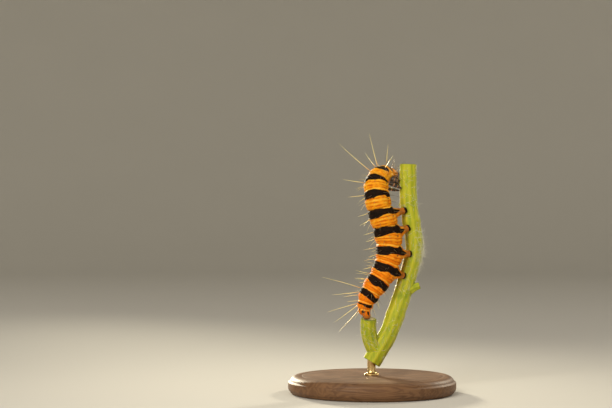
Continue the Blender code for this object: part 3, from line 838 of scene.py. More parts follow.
def grow(name, source, tree, values):
    # a piece with the plain mesh that a node tree makes of its source
    carrier = addObject(name + " source", source)
    modifier = carrier.modifiers.new("grow", "NODES")
    modifier.node_group = tree
    for item in tree.interface.items_tree:
        if item.name in values:
            modifier[item.identifier] = values[item.name]
    bpy.context.view_layer.update()
    depsgraph = bpy.context.evaluated_depsgraph_get()
    mesh = bpy.data.meshes.new_from_object(
        carrier.evaluated_get(depsgraph), preserve_all_data_layers=True, depsgraph=depsgraph)
    bpy.data.objects.remove(carrier)
    mesh.name = name
    return addObject(name, mesh)


def pathMesh(name, paths, girths, **fields):
    # one open line of edges for each path, with its thickness and other values at the points
    edges, start = [], 0
    for path in paths:
        edges += [(start + k, start + k + 1) for k in range(len(path) - 1)]
        start += len(path)
    return newMesh(name, np.concatenate(paths), edges, [], {"girth": np.concatenate(girths) * mm, **fields})


hairOnMap = 0.003  # the width of each hair's own square on the map


def growBristles(name, hairs, material, around, radius):
    # hairs: the path, girths, UV of the root and the darkening of each, a random tint or painted shade
    paths, girths, roots, tints = zip(*hairs)
    steps = [len(path) for path in paths]
    rootU, rootV = np.repeat(roots, steps, axis=0).T
    along = np.concatenate([np.linspace(0, 1, n) for n in steps])
    source = pathMesh(name, paths, [girth * radius for girth in girths], rootU=rootU, rootV=rootV,
                      alongHair=along, tint=np.repeat(tints, steps))
    piece = grow(name, source, tubeTree, {"Points Around": around, "Finish": material})
    mesh = piece.data
    titles = "rootU", "rootV", "alongHair"
    u, v, share = (valuesOf(mesh.attributes[title].data, "value") for title in titles)
    u = u + hairOnMap * (share - 0.5)
    v = v + hairOnMap * ((np.arange(len(v)) % around) / around - 0.5)
    loops = valuesOf(mesh.loops, "vertex_index", kind=int)
    addBakeMap(mesh, np.clip(np.stack([u[loops], v[loops]], -1), 0.0, 1.0))
    seatPiece(piece)
    print(name + ":", len(hairs), "hairs,", len(mesh.polygons), "faces")


def hairPath(root, way, bend, length, steps):
    t = np.linspace(0, 1, steps)[:, None]
    return root + way * length * t + bend * length * t**2


def thinning(steps, power=1.2, loss=0.94):
    return 1 - np.linspace(0, 1, steps) ** power * loss


def makeBristleMaterial(name, rootColour, tipColour):
    material, tree, height, _ = startMaterial(name, grainSize=0.03, patchSize=0.5, constants={
        "Roughness": 0.35, "Subsurface Weight": 0.35, "Subsurface Scale": 0.1 * mm,
        "Subsurface Radius": (1.0, 0.8, 0.5), "Specular IOR Level": 0.5, "Sheen Weight": 0.2})
    colour = blend(spread(fieldOf(tree, "alongHair"), 0.0, 0.35), rootColour, tipColour)
    # darkens each hair toward near black: painted shade on the larva's near-side bristles, and a random tint
    # on the others
    colour = blend(maths("MULTIPLY", fieldOf(tree, "tint"), 0.9), colour, (0.03, 0.012, 0.006))
    return endMaterial(material, colour, None, height, bump=0.002)


def makeBristles(skin):
    chance = np.random.default_rng(23)
    hairs = []
    for s, angle, k in bristleRoots():
        point, normal, ahead, uv = skinAt(skin, s, angle)
        length = bristleLook["lengths"][k] * chance.uniform(*bristleLook["lengthSpread"])
        length *= 0.6 if abs(angle) > 2.2 else 1
        lean = chance.uniform(0.05, 0.45) if k < 10 else chance.uniform(-0.3, 0.2)
        lean += 0.5 if k < 2 else 0
        way = unit(normal - ahead * lean + chance.normal(0, 0.12, 3))
        bend = -ahead * chance.uniform(0.02, 0.22) + chance.normal(0, 0.05, 3) - np.array((0, 0, 0.06))
        path = hairPath(point - normal * bristleLook["sunk"], way, bend, length, steps=8)
        (shadeFrom, shadeTo), (halfShadeFrom, halfShadeTo) = bristleLook["shadedSide"], bristleLook["halfShadedSide"]
        turn = math.degrees(angle)
        # painted shade: bristles on the side toward the camera are darkened, and those low on the far side
        # partly, though all are one colour
        dark = 0.95 if shadeFrom < turn < shadeTo else 0.4 if halfShadeFrom < turn < halfShadeTo else 0.0
        girths = (0.62 if length < 1.8 else 0.75) * thinning(8)
        hairs.append((path, girths, uv, dark + chance.uniform(0, 0.1)))
    for s, angle, length, way in bristleLook["shown"]:
        point, normal, _, uv = skinAt(skin, s, math.radians(angle))
        root, bend = point - normal * bristleLook["sunk"], chance.normal(0, 0.05, 3)
        path = hairPath(root, unit(way), bend, length, steps=12)
        girths = (1.0 if length < 2.1 else 1.15) * thinning(12, 1.8, 0.86)
        hairs.append((path, girths, uv, chance.uniform(0, 0.1)))
    material = makeBristleMaterial("pale bristle", (0.85, 0.50, 0.12), (1.0, 0.82, 0.34))
    growBristles("larva_bristles", hairs, material, around=6, radius=0.042)


def setShapes(name, shapeShell, spots, material):
    # copies of one small shape; each spot has its place, the shape's +Z and +X there, and its size
    points, aims, leads, sizes = zip(*spots)
    shape = makePiece(name + " shape", shapeShell, material)
    shape.hide_render = True
    source = newMesh(name, points, fields={"aim": aims, "lead": leads, "size": sizes})
    piece = grow(name, source, settingTree, {"Shape": shape, "Finish": material})
    bpy.data.objects.remove(shape)
    seatPiece(piece)
    print(name + ":", len(points), "set,", len(piece.data.polygons), "faces")


def makeShellMaterial(name, dark, light, rough, coat=0.5, grain=0.05):
    material, tree, height, tone = startMaterial(name, grainSize=grain, patchSize=0.4, constants={
        "Coat Weight": coat, "Coat Roughness": 0.12, "Specular IOR Level": 0.5, "IOR": 1.52})
    colour = paintOver(dark, (tone, 0.4, 0.72, 0.8, light),
                       (fieldOf(tree, "soft"), 0.3, 0.9, 1.0, (0.42, 0.17, 0.05)))
    roughness = spread(tone, 0.2, 0.8, rough - 0.06, rough + 0.1)
    return endMaterial(material, colour, roughness, height, bump=0.006)


legShell = makeShellMaterial("leg shell", (0.012, 0.007, 0.005), (0.05, 0.02, 0.010), 0.30)
headShell = makeShellMaterial("head shell", (0.012, 0.006, 0.004), (0.07, 0.020, 0.008), 0.20, 0.8, 0.07)


holeLook = {
    "segments": (2, 3, 4, 5, 6, 7, 8, 9, 12), "place": 0.46, "turn": 97,
    "size": 0.145, "narrow": 0.62, "around": 20,
    "levels": ((1.0, -0.35), (1.02, 0.0), (0.92, 0.16), (0.78, 0.18), (0.66, 0.06), (0.45, -0.05),
               (0.2, -0.03)),  # size and height of each ring
}


def makeBreathingHoles(skin):
    # a raised oval rim round a sunken slit, low on each side of nine segments
    turn = circle(holeLook["around"])
    oval = np.stack([np.cos(turn) * holeLook["narrow"], np.sin(turn), turn * 0], -1)
    rings = [oval * size + np.array((0, 0, lift)) for size, lift in holeLook["levels"]]
    shape = ringShell(np.array(rings) * holeLook["size"])
    spots = []
    for k in holeLook["segments"]:
        for side, _ in sides:
            s, angle = onSegment(k, holeLook["place"]), side * math.radians(holeLook["turn"])
            point, normal, ahead, _ = skinAt(skin, s, angle)
            spots.append((point + normal * 0.005, normal, ahead, 0.8 if k == 2 else 1.0))
    setShapes("larva_breathing_holes", shape, spots, legShell)


hookLook = {"count": 16, "radius": 0.016, "sunk": 0.09, "proleg": 0.41, "anal": 0.34}  # radius of each row


def makeHooks(skin):
    # a row of small hooks round the rim of every proleg's sole
    arc = np.linspace(0, 1, 7)[:, None]
    path = np.hstack([0.06 * np.sin(arc * 2.4), arc * 0, 0.09 * arc - 0.06 * arc**3])
    shape = ringShell(tubeRings(path, hookLook["radius"] * (1 - arc[:, 0] * 0.75), around=6))
    spots = []
    for name, foot in skin["feet"].items():
        size, towards = hookLook[name.split("_")[0]], foot["facing"]
        for angle in circle(hookLook["count"]):
            out = foot["first"] * math.cos(angle) + foot["second"] * math.sin(angle)
            out = squareTo(out, towards)
            spots.append((foot["sole"] + towards * hookLook["sunk"] + out * size, -towards, out, 1.0))
    setShapes("larva_proleg_hooks", shape, spots, legShell)


# Thoracic legs, each a chain of hard sleeves with soft rings between them and a claw

legLook = {
    "segments": {"prothorax": 0.45, "mesothorax": -0.35, "metathorax": -1.0},  # lift up the stem
    "setBack": 0.12, "spread": 42, "straddle": 22, "depth": 0.7, "bow": (0.22, 0.18), "offStem": 0.08,
    "steps": 64, "around": 22, "clawReach": 0.20, "clawBend": 0.15, "clawRadius": 0.06,
    "profile": ((0.0, 0.38, 1), (0.16, 0.38, 1), (0.20, 0.34, 0), (0.24, 0.36, 0), (0.36, 0.34, 0),
                (0.40, 0.28, 1), (0.43, 0.26, 1), (0.46, 0.30, 0), (0.60, 0.285, 0), (0.63, 0.22, 1),
                (0.66, 0.21, 1), (0.69, 0.25, 0), (0.82, 0.21, 0), (0.85, 0.16, 1), (0.87, 0.16, 0),
                (0.97, 0.12, 0), (1.0, 0.07, 0)),  # share of the way down, radius, softness
}


def makeLegs():
    shares, widths, softness = np.array(legLook["profile"]).T
    around, at = legLook["around"], np.linspace(0, 1, legLook["steps"])
    for number, (name, lift) in enumerate(legLook["segments"].items(), 1):
        s = bodyLine["middles"][bodyNames.index(name)] - legLook["setBack"]
        _, _, belly, across = lineFrame(bodyLine, s)
        for side, word in sides:
            root = bodyRoot(s, legLook["spread"], side, legLook["depth"])
            tip, facing = stemHold(root, side * legLook["straddle"], lift, -legLook["offStem"])
            bow = belly * legLook["bow"][0] + across * side * legLook["bow"][1]
            path = root + (tip - root) * at[:, None] + bow * np.sin(np.pi * at)[:, None]
            leg = ringShell(tubeRings(path, np.interp(at, shares, widths), around))
            t = np.linspace(0, 1, 8)[:, None]
            ahead = unit(path[-1] - path[-4])
            clawPath = path[-2] + ahead * legLook["clawReach"] * t - facing * legLook["clawBend"] * t**2
            claw = ringShell(tubeRings(clawPath, legLook["clawRadius"] * (1 - 0.9 * t[:, 0]), around=8))
            soft = np.repeat(np.interp(at, shares, softness), around)
            soft = np.concatenate([soft, [1, 0], np.zeros(len(claw[0]))])
            makePiece(f"leg_{number}_{word}_jointed", joinShells([leg, claw]), legShell, "leg_shell",
                      [f"leg_{number}_{word}"], {"soft": soft})
    print("thoracic legs made")


# The head

headLook = {
    "columns": 168, "rings": 120,
    "eyePlace": 0.46, "eyeTurn": 104, "feelerPlace": 0.80, "feelerTurn": 104,
    "stemmata": ((-0.22, 0.10), (-0.09, 0.23), (0.09, 0.23), (0.22, 0.10), (0.26, -0.16), (-0.13, -0.15)),
    "lensRadius": 0.082,
    "lensLevels": ((1.25, -0.25), (1.22, 0.10), (1.08, 0.16), (0.98, 0.14), (0.9, 0.30), (0.75, 0.48),
                   (0.5, 0.62), (0.25, 0.69)),  # size and height of each ring
    "frons": ((0.0, 0.40), (0.40, -0.40)),  # its top, and its lower corner on each side
}
headStart = trunkEnd + 0.06
headLength, headWidth, headHeight = bodyRows[13, :3]


def headShape(share, angle, out=0.0):
    share, angle = np.broadcast_arrays(np.asarray(share, float), np.asarray(angle, float))
    neck = np.where(share < 0, 0.84 + share * 1.6, np.minimum(1, 0.84 + share * 0.5))
    full = neck * np.sqrt(np.clip(1 - (np.maximum(share - 0.35, 0) / 0.66) ** 2, 0, 1))
    offTop = np.abs((angle + np.pi) % (2 * np.pi) - np.pi)
    full = full * (1 + 0.05 * hump(offTop - 0.6, 0.4) - 0.09 * hump(offTop, 0.25))
    x = headWidth / 2 * full * np.sin(angle)
    y = headHeight / 2 * full * downShare(angle)
    size = np.maximum(np.hypot(x, y), 1e-6)
    centre, ahead, belly, across = lineFrame(bodyLine, headStart + headLength * share)
    outwards = across * (x / size)[..., None] + belly * (y / size)[..., None]
    face = np.clip((share - 0.35) / 0.66, 0, 1)
    way = unit(outwards * np.sqrt(1 - face**2 + 1e-6)[..., None] + ahead * face[..., None])
    place = centre + across * x[..., None] + belly * y[..., None]
    return place + way * out, way, x, -y


def lineDistance(x, y, start, end):
    along = np.array(end) - np.array(start)
    t = np.clip(((x - start[0]) * along[0] + (y - start[1]) * along[1]) / (along @ along), 0, 1)
    return np.hypot(x - start[0] - t * along[0], y - start[1] - t * along[1])


def makeHead():
    neck = np.linspace(-0.16, 0.33, 44)
    dome = 0.35 + 0.66 * np.sin(np.radians(np.linspace(0, 88.5, headLook["rings"] - 44)))
    angle = np.linspace(-np.pi, np.pi, headLook["columns"], endpoint=False)
    share, angle = np.meshgrid(np.concatenate([neck, dome]), angle, indexing="ij")
    place, way, x, y = headShape(share, angle)
    top, corner = headLook["frons"]
    otherCorner = (-corner[0], corner[1])
    onFace = smoothStep(share, 0.42, 0.6)
    edge = np.minimum(lineDistance(x, y, top, corner), lineDistance(x, y, top, otherCorner))
    sill = lineDistance(x, y, otherCorner, corner)
    insideFrons = smoothStep(edge, 0.03, 0.2) * (y < top[1]) * (np.abs(x) < 0.42) * onFace
    relief = -0.045 * hump(edge, 0.035) * onFace - 0.035 * hump(sill, 0.03) * onFace
    relief -= 0.05 * hump(x, 0.035) * smoothStep(y, 0.30, 0.42) * smoothStep(share, 0.0, 0.15)
    relief -= 0.03 * insideFrons * hump(x, 0.25)
    relief -= 0.10 * smoothStep(-y, 0.46, 0.62) * onFace * hump(x, 0.45)  # the mouth's recess
    relief += 0.012 * wobble(place, 3.0, 5.0, 2) + 0.006 * np.sin(y * 38 + 2 * x) * insideFrons
    shell = ringShell(place + way * relief[..., None], v=0.01 + 0.98 * np.linspace(0, 1, len(share)))
    soft = 0.55 * hump(edge, 0.03) * onFace + smoothStep(-share, -0.02, 0.1)
    soft = np.concatenate([soft.ravel(), [1, 0]])
    makePiece("head_capsule", shell, headShell, "head_shell", ["head"], {"soft": soft}, uvMap=True)
    centre, ahead, belly, across = lineFrame(bodyLine, headStart + headLength * 0.5)

    def at(right, up, forth):
        return centre + across * right - belly * up + ahead * forth

    makeJaws(at, belly)
    makeMouth(at)
    makeEyes()
    makeFeelers(ahead)
    makeHeadBristles()
    print("head made")


def makeJaws(at, belly):
    # broad curved scoops, each with four teeth
    for side, word in sides:
        bar = [at(side * x, y, z) for x, y, z in (
            (0.40, -0.50, 0.36), (0.40, -0.60, 0.62), (0.26, -0.68, 0.88), (0.07, -0.73, 1.00))]
        shells = [bentTube(bar, (0.20, 0.235, 0.20, 0.10), steps=22, around=24, places=(0, 0.3, 0.7, 1),
                           flat=0.62, lead=belly)]
        for k in range(4):
            root = at(side * (0.13 - 0.010 * k), -0.60 - k * 0.085, 0.98 - k * 0.02)
            tip = at(side * 0.02, -0.61 - k * 0.09, 1.06 - k * 0.03)
            shells.append(bentTube([root, (root + tip) / 2, tip], (0.052, 0.008), steps=6, around=10))
        makePiece(f"mandible_{word}_toothed", joinShells(shells), headShell, "head_shell",
                  ["mandible_" + word])


def makeMouth(at):
    # the notched upper lip over the jaws, and the palps and spinneret below them
    rings = []
    for t in np.linspace(0, 1, 14):
        width = 0.34 * math.sqrt(max(1 - (t - 0.25) ** 2 / 0.7, 0.02))
        turn = circle(40)
        notch = 0.07 * hump(np.cos(turn), 0.35) * t**3
        rings.append([at(width * math.cos(a), -0.40 - 0.26 * t + n,
                         0.68 + 0.10 * t + 0.05 * math.sin(a) - 0.10 * math.cos(a) ** 2)
                      for a, n in zip(turn, notch)])
    shell = ringShell(rings)
    makePiece("head_upper_lip", shell, headShell, "head_shell", fields={"soft": np.full(len(shell[0]), 0.35)})
    shells = []
    for side, _ in sides:
        for start, end, radii in (
            ((0.24, -0.80, 0.30), (0.22, -0.92, 0.62), (0.16, 0.17, 0.15, 0.13)),
            ((0.22, -0.92, 0.60), (0.19, -0.96, 0.74), (0.10, 0.105, 0.10, 0.08)),
            ((0.19, -0.96, 0.73), (0.16, -0.98, 0.86), (0.06, 0.065, 0.055, 0.03)),
        ):
            a, b = (at(side * x, y, z) for x, y, z in (start, end))
            shells.append(bentTube([a, (a + b) / 2, b], radii, steps=14, around=16))
    softness = [0.25] * len(shells) + [0.6]
    spinneret = [at(0, -0.86, 0.32), at(0, -0.97, 0.58), at(0, -1.03, 0.88)]
    shells.append(bentTube(spinneret, (0.17, 0.13, 0.06, 0.025), steps=16, around=16,
                           places=(0, 0.5, 0.75, 1)))
    soft = np.repeat(softness, [len(shell[0]) for shell in shells])
    makePiece("head_palps", joinShells(shells), legShell, "leg_shell", fields={"soft": soft})


def makeEyes():
    # six round lenses on each side, each a dome in a low rim
    material, _, height, tone = startMaterial("lens", grainSize=0.05, patchSize=0.2, constants={
        "Roughness": 0.08, "Coat Weight": 1.0, "Coat Roughness": 0.03, "Specular IOR Level": 0.6})
    endMaterial(material, blend(tone, (0.006, 0.004, 0.004), (0.05, 0.022, 0.010)), None, height, bump=0.001)
    radius, place, middle = headLook["lensRadius"], headLook["eyePlace"], math.radians(headLook["eyeTurn"])
    angle = circle(20)[:, None]
    for side, word in sides:
        centre = headShape(place, side * middle)[0]
        up = unit(headShape(place, side * (middle - math.radians(10)))[0] - centre)
        shells = []
        for alongHead, above in headLook["stemmata"]:
            spot, out, _, _ = headShape(place + alongHead / headLength, side * (middle - above / 0.98))
            first = unit(np.cross(out, up))
            ring = first * np.cos(angle) + np.cross(out, first) * np.sin(angle)
            rings = [spot + (ring * size + out * lift) * radius for size, lift in headLook["lensLevels"]]
            shells.append(ringShell(rings))
        makePiece("eyes_" + word + "_lenses", joinShells(shells), material, "eye", ["eyes_" + word])


def makeFeelers(ahead):
    reach = np.linspace(0, 1, 40)
    widths = np.interp(reach, (0, 0.30, 0.34, 0.38, 0.62, 0.66, 0.69, 0.84, 0.87, 0.9, 1.0),
                       (0.25, 0.22, 0.17, 0.165, 0.155, 0.12, 0.10, 0.095, 0.06, 0.045, 0.03))
    soft = np.repeat(np.interp(reach, (0, 0.30, 0.36, 0.62, 0.67, 0.70), (0.9, 0.9, 0, 0, 0.8, 0)), 20)
    for side, word in sides:
        angle = side * math.radians(headLook["feelerTurn"])
        root, way, _, _ = headShape(headLook["feelerPlace"], angle, -0.12)
        aim = unit(way * 0.75 + ahead * 0.75)
        path = root + aim * 0.70 * reach[:, None] - bellyOn(bodyLine, trunkEnd) * 0.05 * reach[:, None] ** 2
        feeler = ringShell(tubeRings(path, widths, 20))
        whip = hairPath(path[-1] - aim * 0.05, aim, np.array((0.0, 0, -0.05)), 0.55, steps=8)
        bristle = ringShell(tubeRings(whip, np.linspace(0.016, 0.005, 8), 8))
        fields = {"soft": np.concatenate([soft, [1, 0], np.full(len(bristle[0]), 0.5)])}
        makePiece("antenna_" + word + "_ringed", joinShells([feeler, bristle]), legShell, "leg_shell",
                  ["antenna_" + word], fields)


def makeHeadBristles():
    chance = np.random.default_rng(5)
    plan = ((0.12, 22, 1.5), (0.30, 30, 1.1), (0.50, 24, 0.8), (0.66, 40, 0.8), (0.80, 30, 0.5),
            (0.35, 58, 1.2), (0.58, 66, 0.9), (0.22, 88, 1.3), (0.70, 88, 0.7), (0.30, 122, 0.8),
            (0.62, 128, 0.7), (0.12, 60, 1.2))  # share along the head, angle, length
    hairs = []
    for share, turn, length in plan:
        for side, _ in sides:
            angle = side * math.radians(turn)
            point, way, _, _ = headShape(share, angle)
            aim = unit(way + chance.normal(0, 0.15, 3))
            path = hairPath(point - way * 0.04, aim, chance.normal(0, 0.08, 3), length, steps=8)
            uv = ((angle + math.pi) / (2 * math.pi), 0.01 + 0.98 * share)
            hairs.append((path, thinning(8), uv, chance.uniform(0, 1)))
    material = makeBristleMaterial("head bristle", (0.30, 0.16, 0.06), (0.85, 0.66, 0.38))
    growBristles("head_bristles", hairs, material, around=6, radius=0.030)


shieldLook = {"place": 0.60, "reach": 0.26, "turn": 34, "spread": 27, "rise": 0.045}


def makeNeckShield(skin):
    # two dark plates on the back of the first segment, with a pale line between them
    material = makeShellMaterial("neck shield", (0.014, 0.008, 0.006), (0.06, 0.025, 0.012), 0.28)
    shells = []
    for side, _ in sides:
        rings = []
        for size in (1.02, 1.0, 0.97, 0.9, 0.75, 0.5, 0.25):
            lift = shieldLook["rise"] * math.sqrt(max(1 - size**2, 0)) + 0.012 * (size < 1)
            lift = -0.03 if size > 1 else lift
            ring = []
            for turn in circle(48):
                along = shieldLook["reach"] * size * math.cos(turn) + 0.03 * math.sin(3 * turn)
                s = onSegment(12, shieldLook["place"] + along)
                angle = side * math.radians(shieldLook["turn"] + shieldLook["spread"] * size * math.sin(turn))
                point, normal, _, _ = skinAt(skin, s, angle)
                ring.append(point + normal * lift)
            rings.append(ring)
        shells.append(ringShell(rings))
    makePiece("prothorax_shield", joinShells(shells), material, "head_shell")


# The perch: the cut stem and its side shoot

stemLook = {
    "around": 180, "ribs": 9, "ribHeight": 0.026, "rings": 240,
    "knots": (7.6, 21.5), "knotRise": 0.09, "knotWidth": 0.5,  # swollen places up the stem
    "shootRoot": 1.4, "shootBow": 0.45, "shootWidth": 2.2, "shootRings": 70, "shootAround": 144,
    "downHairs": 620, "downLengths": (0.5, 1.3), "shootHairs": 5,  # one hair in five is on the shoot
    "woollyHairs": 260, "woollyTurn": (2.8, 0.45), "woollyPlace": (17.0, 1.5),  # each with its spread
    "stubRoot": 0.45, "stubClimb": 1.1, "stubFoot": 0.9,
    "stubs": ((12.0, -8, 0.48, 0.75), (23.6, 120, 0.42, 0.7)),  # place, turn from +X, radius, length
}
stemColours = {
    "green": (0.35, 0.42, 0.014), "light": (0.63, 0.58, 0.03), "deep": (0.15, 0.25, 0.012),
    "pith": (0.78, 0.74, 0.40), "ring": (0.34, 0.38, 0.05), "dry": (0.45, 0.36, 0.14),
}


def makeStemMaterial():
    material, tree, height, tone = startMaterial("green stem", grainSize=0.10, patchSize=1.6, constants={
        "Subsurface Weight": 0.18, "Subsurface Scale": 0.4 * mm, "Subsurface Radius": (0.7, 1.0, 0.2),
        "Sheen Weight": 0.10, "Sheen Tint": (1.0, 0.95, 0.5, 1), "Specular IOR Level": 0.28})
    turn = maths("MULTIPLY", fieldOf(tree, "around"), stemLook["ribs"] * 2 * math.pi)
    rib = spread(maths("COSINE", turn), -0.6, 0.9, 0.0, 0.6)
    fibres = noiseValue(stretchedPlace(tree, (1.0, 1.0, 0.12)), 4.5 / mm, 3, 0.6)
    colour = paintOver(blend(rib, stemColours["green"], stemColours["light"]),
                       (fibres, 0.35, 0.7, 0.6, stemColours["light"]),
                       (tone, 0.5, 0.8, 0.6, stemColours["deep"]))
    height = maths("ADD", maths("MULTIPLY", fibres, 1.4), height)
    return endMaterial(material, colour, spread(tone, 0.2, 0.8, 0.45, 0.65), height, bump=0.03)


def makeCutMaterial():
    # a cut end: pale pith, a ring of bundles and a green rim
    material, tree, height, tone = startMaterial("cut stem", grainSize=0.10, patchSize=0.5, constants={
        "Subsurface Weight": 0.2, "Subsurface Scale": 0.4 * mm})
    core = fieldOf(tree, "core")
    colour = paintOver(stemColours["pith"], (core, 0.55, 0.70, 1.0, stemColours["ring"]),
                       (core, 0.80, 0.97, 1.0, stemColours["deep"]),
                       (tone, 0.4, 0.8, 0.4, stemColours["dry"]))
    return endMaterial(material, colour, spread(tone, 0.2, 0.8, 0.6, 0.85), height, bump=0.04)


def growStalk(name, path, girth, finish, nodes=(), around=72, ribs=6, ribHeight=0.03):
    # a ribbed stalk; its rings of points come back for the cut faces
    source = pathMesh(name + " path", [path], [girth])
    values = {"Points Around": around, "Ribs": ribs, "Rib Height": ribHeight, "Finish": finish}
    stalk = seatPiece(grow(name, source, tubeTree, values), nodes)
    print(name + ":", len(stalk.data.polygons), "faces")
    return valuesOf(stalk.data.vertices, "co", 3).reshape(-1, around, 3) / mm


def cutEnd(name, rim, up, finish):
    # a cut face that fits the rim of its stalk, whatever its ribs
    levels = ((0.93, -0.06), (0.985, -0.02), (0.992, 0.012), (0.965, 0.045), (0.90, 0.05), (0.82, 0.03),
              (0.72, 0.045), (0.62, 0.03), (0.45, 0.014), (0.25, 0.01), (0.1, 0.014))
    centre = rim.mean(axis=0)
    shell = ringShell([centre + (rim - centre) * size + up * lift for size, lift in levels])
    core = np.append(np.repeat([size for size, _ in levels], len(rim)), (0.9, 0.0))
    makePiece(name, shell, finish, "stem_green", fields={"core": core})


def makePerch():
    bark, cut = makeStemMaterial(), makeCutMaterial()
    s = np.linspace(0, stemLine["length"], stemLook["rings"])
    knots = sum(stemLook["knotRise"] * hump(s - knot, stemLook["knotWidth"]) for knot in stemLook["knots"])
    girth = stemRadius(s) + knots + 0.02 * np.sin(s * 2.1)
    ribs = {"ribs": stemLook["ribs"], "ribHeight": stemLook["ribHeight"]}
    stem = growStalk("perch_stem_ribbed", pointOn(stemLine, s), girth, bark, ["perch_stem"],
                     stemLook["around"], **ribs)
    root = pointOn(stemLine, stemLook["shootRoot"])
    t = np.linspace(0, 1, stemLook["shootRings"])
    path = root + (shootTop - root) * t[:, None]
    path[:, 0] -= stemLook["shootBow"] * np.sin(np.pi * t)
    girth = stemLook["shootWidth"] / 2 * (1 + 0.05 * hump(t, 0.2))
    shoot = growStalk("perch_side_shoot_ribbed", path, girth, bark, ["perch_side_shoot"],
                      stemLook["shootAround"], **ribs)
    cutEnd("perch_cut_top", stem[-1], forwardOn(stemLine, stemLine["length"]), cut)
    cutEnd("perch_cut_foot", stem[0], -forwardOn(stemLine, 0.0), cut)
    cutEnd("perch_cut_shoot", shoot[-1], unit(path[-1] - path[-3]), cut)
    makeStubs(bark, cut)
    makeDown(path, girth)


def makeStubs(bark, cut):
    # two short cut side stubs, each with a swollen foot
    for number, (s, turn, radius, length) in enumerate(stemLook["stubs"], 1):
        up, centre = forwardOn(stemLine, s), pointOn(stemLine, s)
        turn = math.radians(turn)
        out = squareTo(np.array((math.cos(turn), math.sin(turn), 0.0)), up)
        t = np.linspace(0, 1, 18)
        reach = stemRadius(s) - stemLook["stubRoot"] + (length + stemLook["stubRoot"]) * t
        path = centre + out * reach[:, None] + up * (stemLook["stubClimb"] * length * (t - 0.3))[:, None]
        girth = radius * (1 + stemLook["stubFoot"] * (1 - t) ** 1.6 + 0.06 * hump(t - 0.85, 0.1))
        stub = growStalk(f"perch_stub_{number}", path, girth, bark)
        cutEnd(f"perch_stub_cut_{number}", stub[-1], unit(path[-1] - path[-2]), cut)


def makeDown(shootPath, shootGirth):
    # thin cottony hairs that lie along the stem and its shoot
    chance = np.random.default_rng(41)
    hairs = []
    plain, woolly = stemLook["downHairs"], stemLook["woollyHairs"]
    for number in range(plain + woolly):
        inPatch = number >= plain
        turn = chance.normal(*stemLook["woollyTurn"]) if inPatch else chance.uniform(0, 2 * np.pi)
        if number % stemLook["shootHairs"] == 0 and not inPatch:
            k = int(chance.integers(4, len(shootPath) - 6))
            centre, up, radius = shootPath[k], unit(shootPath[k + 1] - shootPath[k - 1]), shootGirth[k]
            along = k / len(shootPath)
        else:
            whole = 0.4, stemLine["length"] - 0.3
            s = chance.normal(*stemLook["woollyPlace"]) if inPatch else chance.uniform(*whole)
            centre, up, radius = pointOn(stemLine, s), forwardOn(stemLine, s), stemRadius(s)
            along = s / stemLine["length"]
        across = unit(np.cross(up, (0.0, 1.0, 0.0)))
        out = across * math.cos(turn) + np.cross(up, across) * math.sin(turn)
        side = np.cross(up, out)
        way = out * chance.uniform(0.15, 0.6) + side * chance.normal(0, 0.7) + up * chance.normal(0.2, 0.8)
        length = chance.uniform(*stemLook["downLengths"])
        bend = -out * chance.uniform(0.1, 0.35) + side * chance.normal(0, 0.8 if inPatch else 0.3)
        path = hairPath(centre + out * radius, unit(way), bend, length, steps=7)
        hairs.append((path, thinning(7, 1, 0.9), (turn / (2 * math.pi), along), chance.uniform(0, 0.5)))
    material = makeBristleMaterial("stem down", (0.80, 0.82, 0.62), (0.95, 0.94, 0.80))
    growBristles("perch_down", hairs, material, around=5, radius=0.018)


# The stand: a turned wooden base and a brass rod. Profiles give the radius and height of each ring.

standLook = {
    "base": ((0.5, 0.0), (6.0, 0.0), (11.3, 0.0), (11.45, 0.03), (11.62, 0.12), (11.72, 0.28), (11.78, 0.42),
             (11.92, 0.52), (11.98, 0.66), (12.0, 0.9), (12.0, 1.5), (11.98, 1.62), (11.86, 1.72),
             (11.74, 1.78), (11.70, 1.86), (11.62, 2.02), (11.48, 2.20), (11.30, 2.34), (11.08, 2.44),
             (10.85, 2.49), (10.6, 2.50), (10.3, 2.50), (10.22, 2.485), (10.16, 2.46), (10.08, 2.455),
             (10.0, 2.46), (9.94, 2.485), (9.86, 2.50), (6.0, 2.50), (2.0, 2.50), (0.6, 2.50)),
    "rod": ((0.1, 1.15), (0.6, 1.15), (0.6, 2.4), (1.02, 2.45), (1.08, 2.50), (1.10, 2.60), (1.06, 2.70),
            (0.94, 2.76), (0.80, 2.80), (0.70, 2.88), (0.64, 3.02), (0.6, 3.2), (0.6, 3.8), (0.6, 4.3),
            (0.6, 5.0), (0.55, 5.5), (0.3, 5.55)),
}


def turnedRings(profile, around, x=0.0, y=0.0):
    turn = circle(around)
    ring = np.stack([np.cos(turn), np.sin(turn), np.zeros(around)], -1)
    return np.array([ring * radius + np.array((x, y, height)) for radius, height in profile])


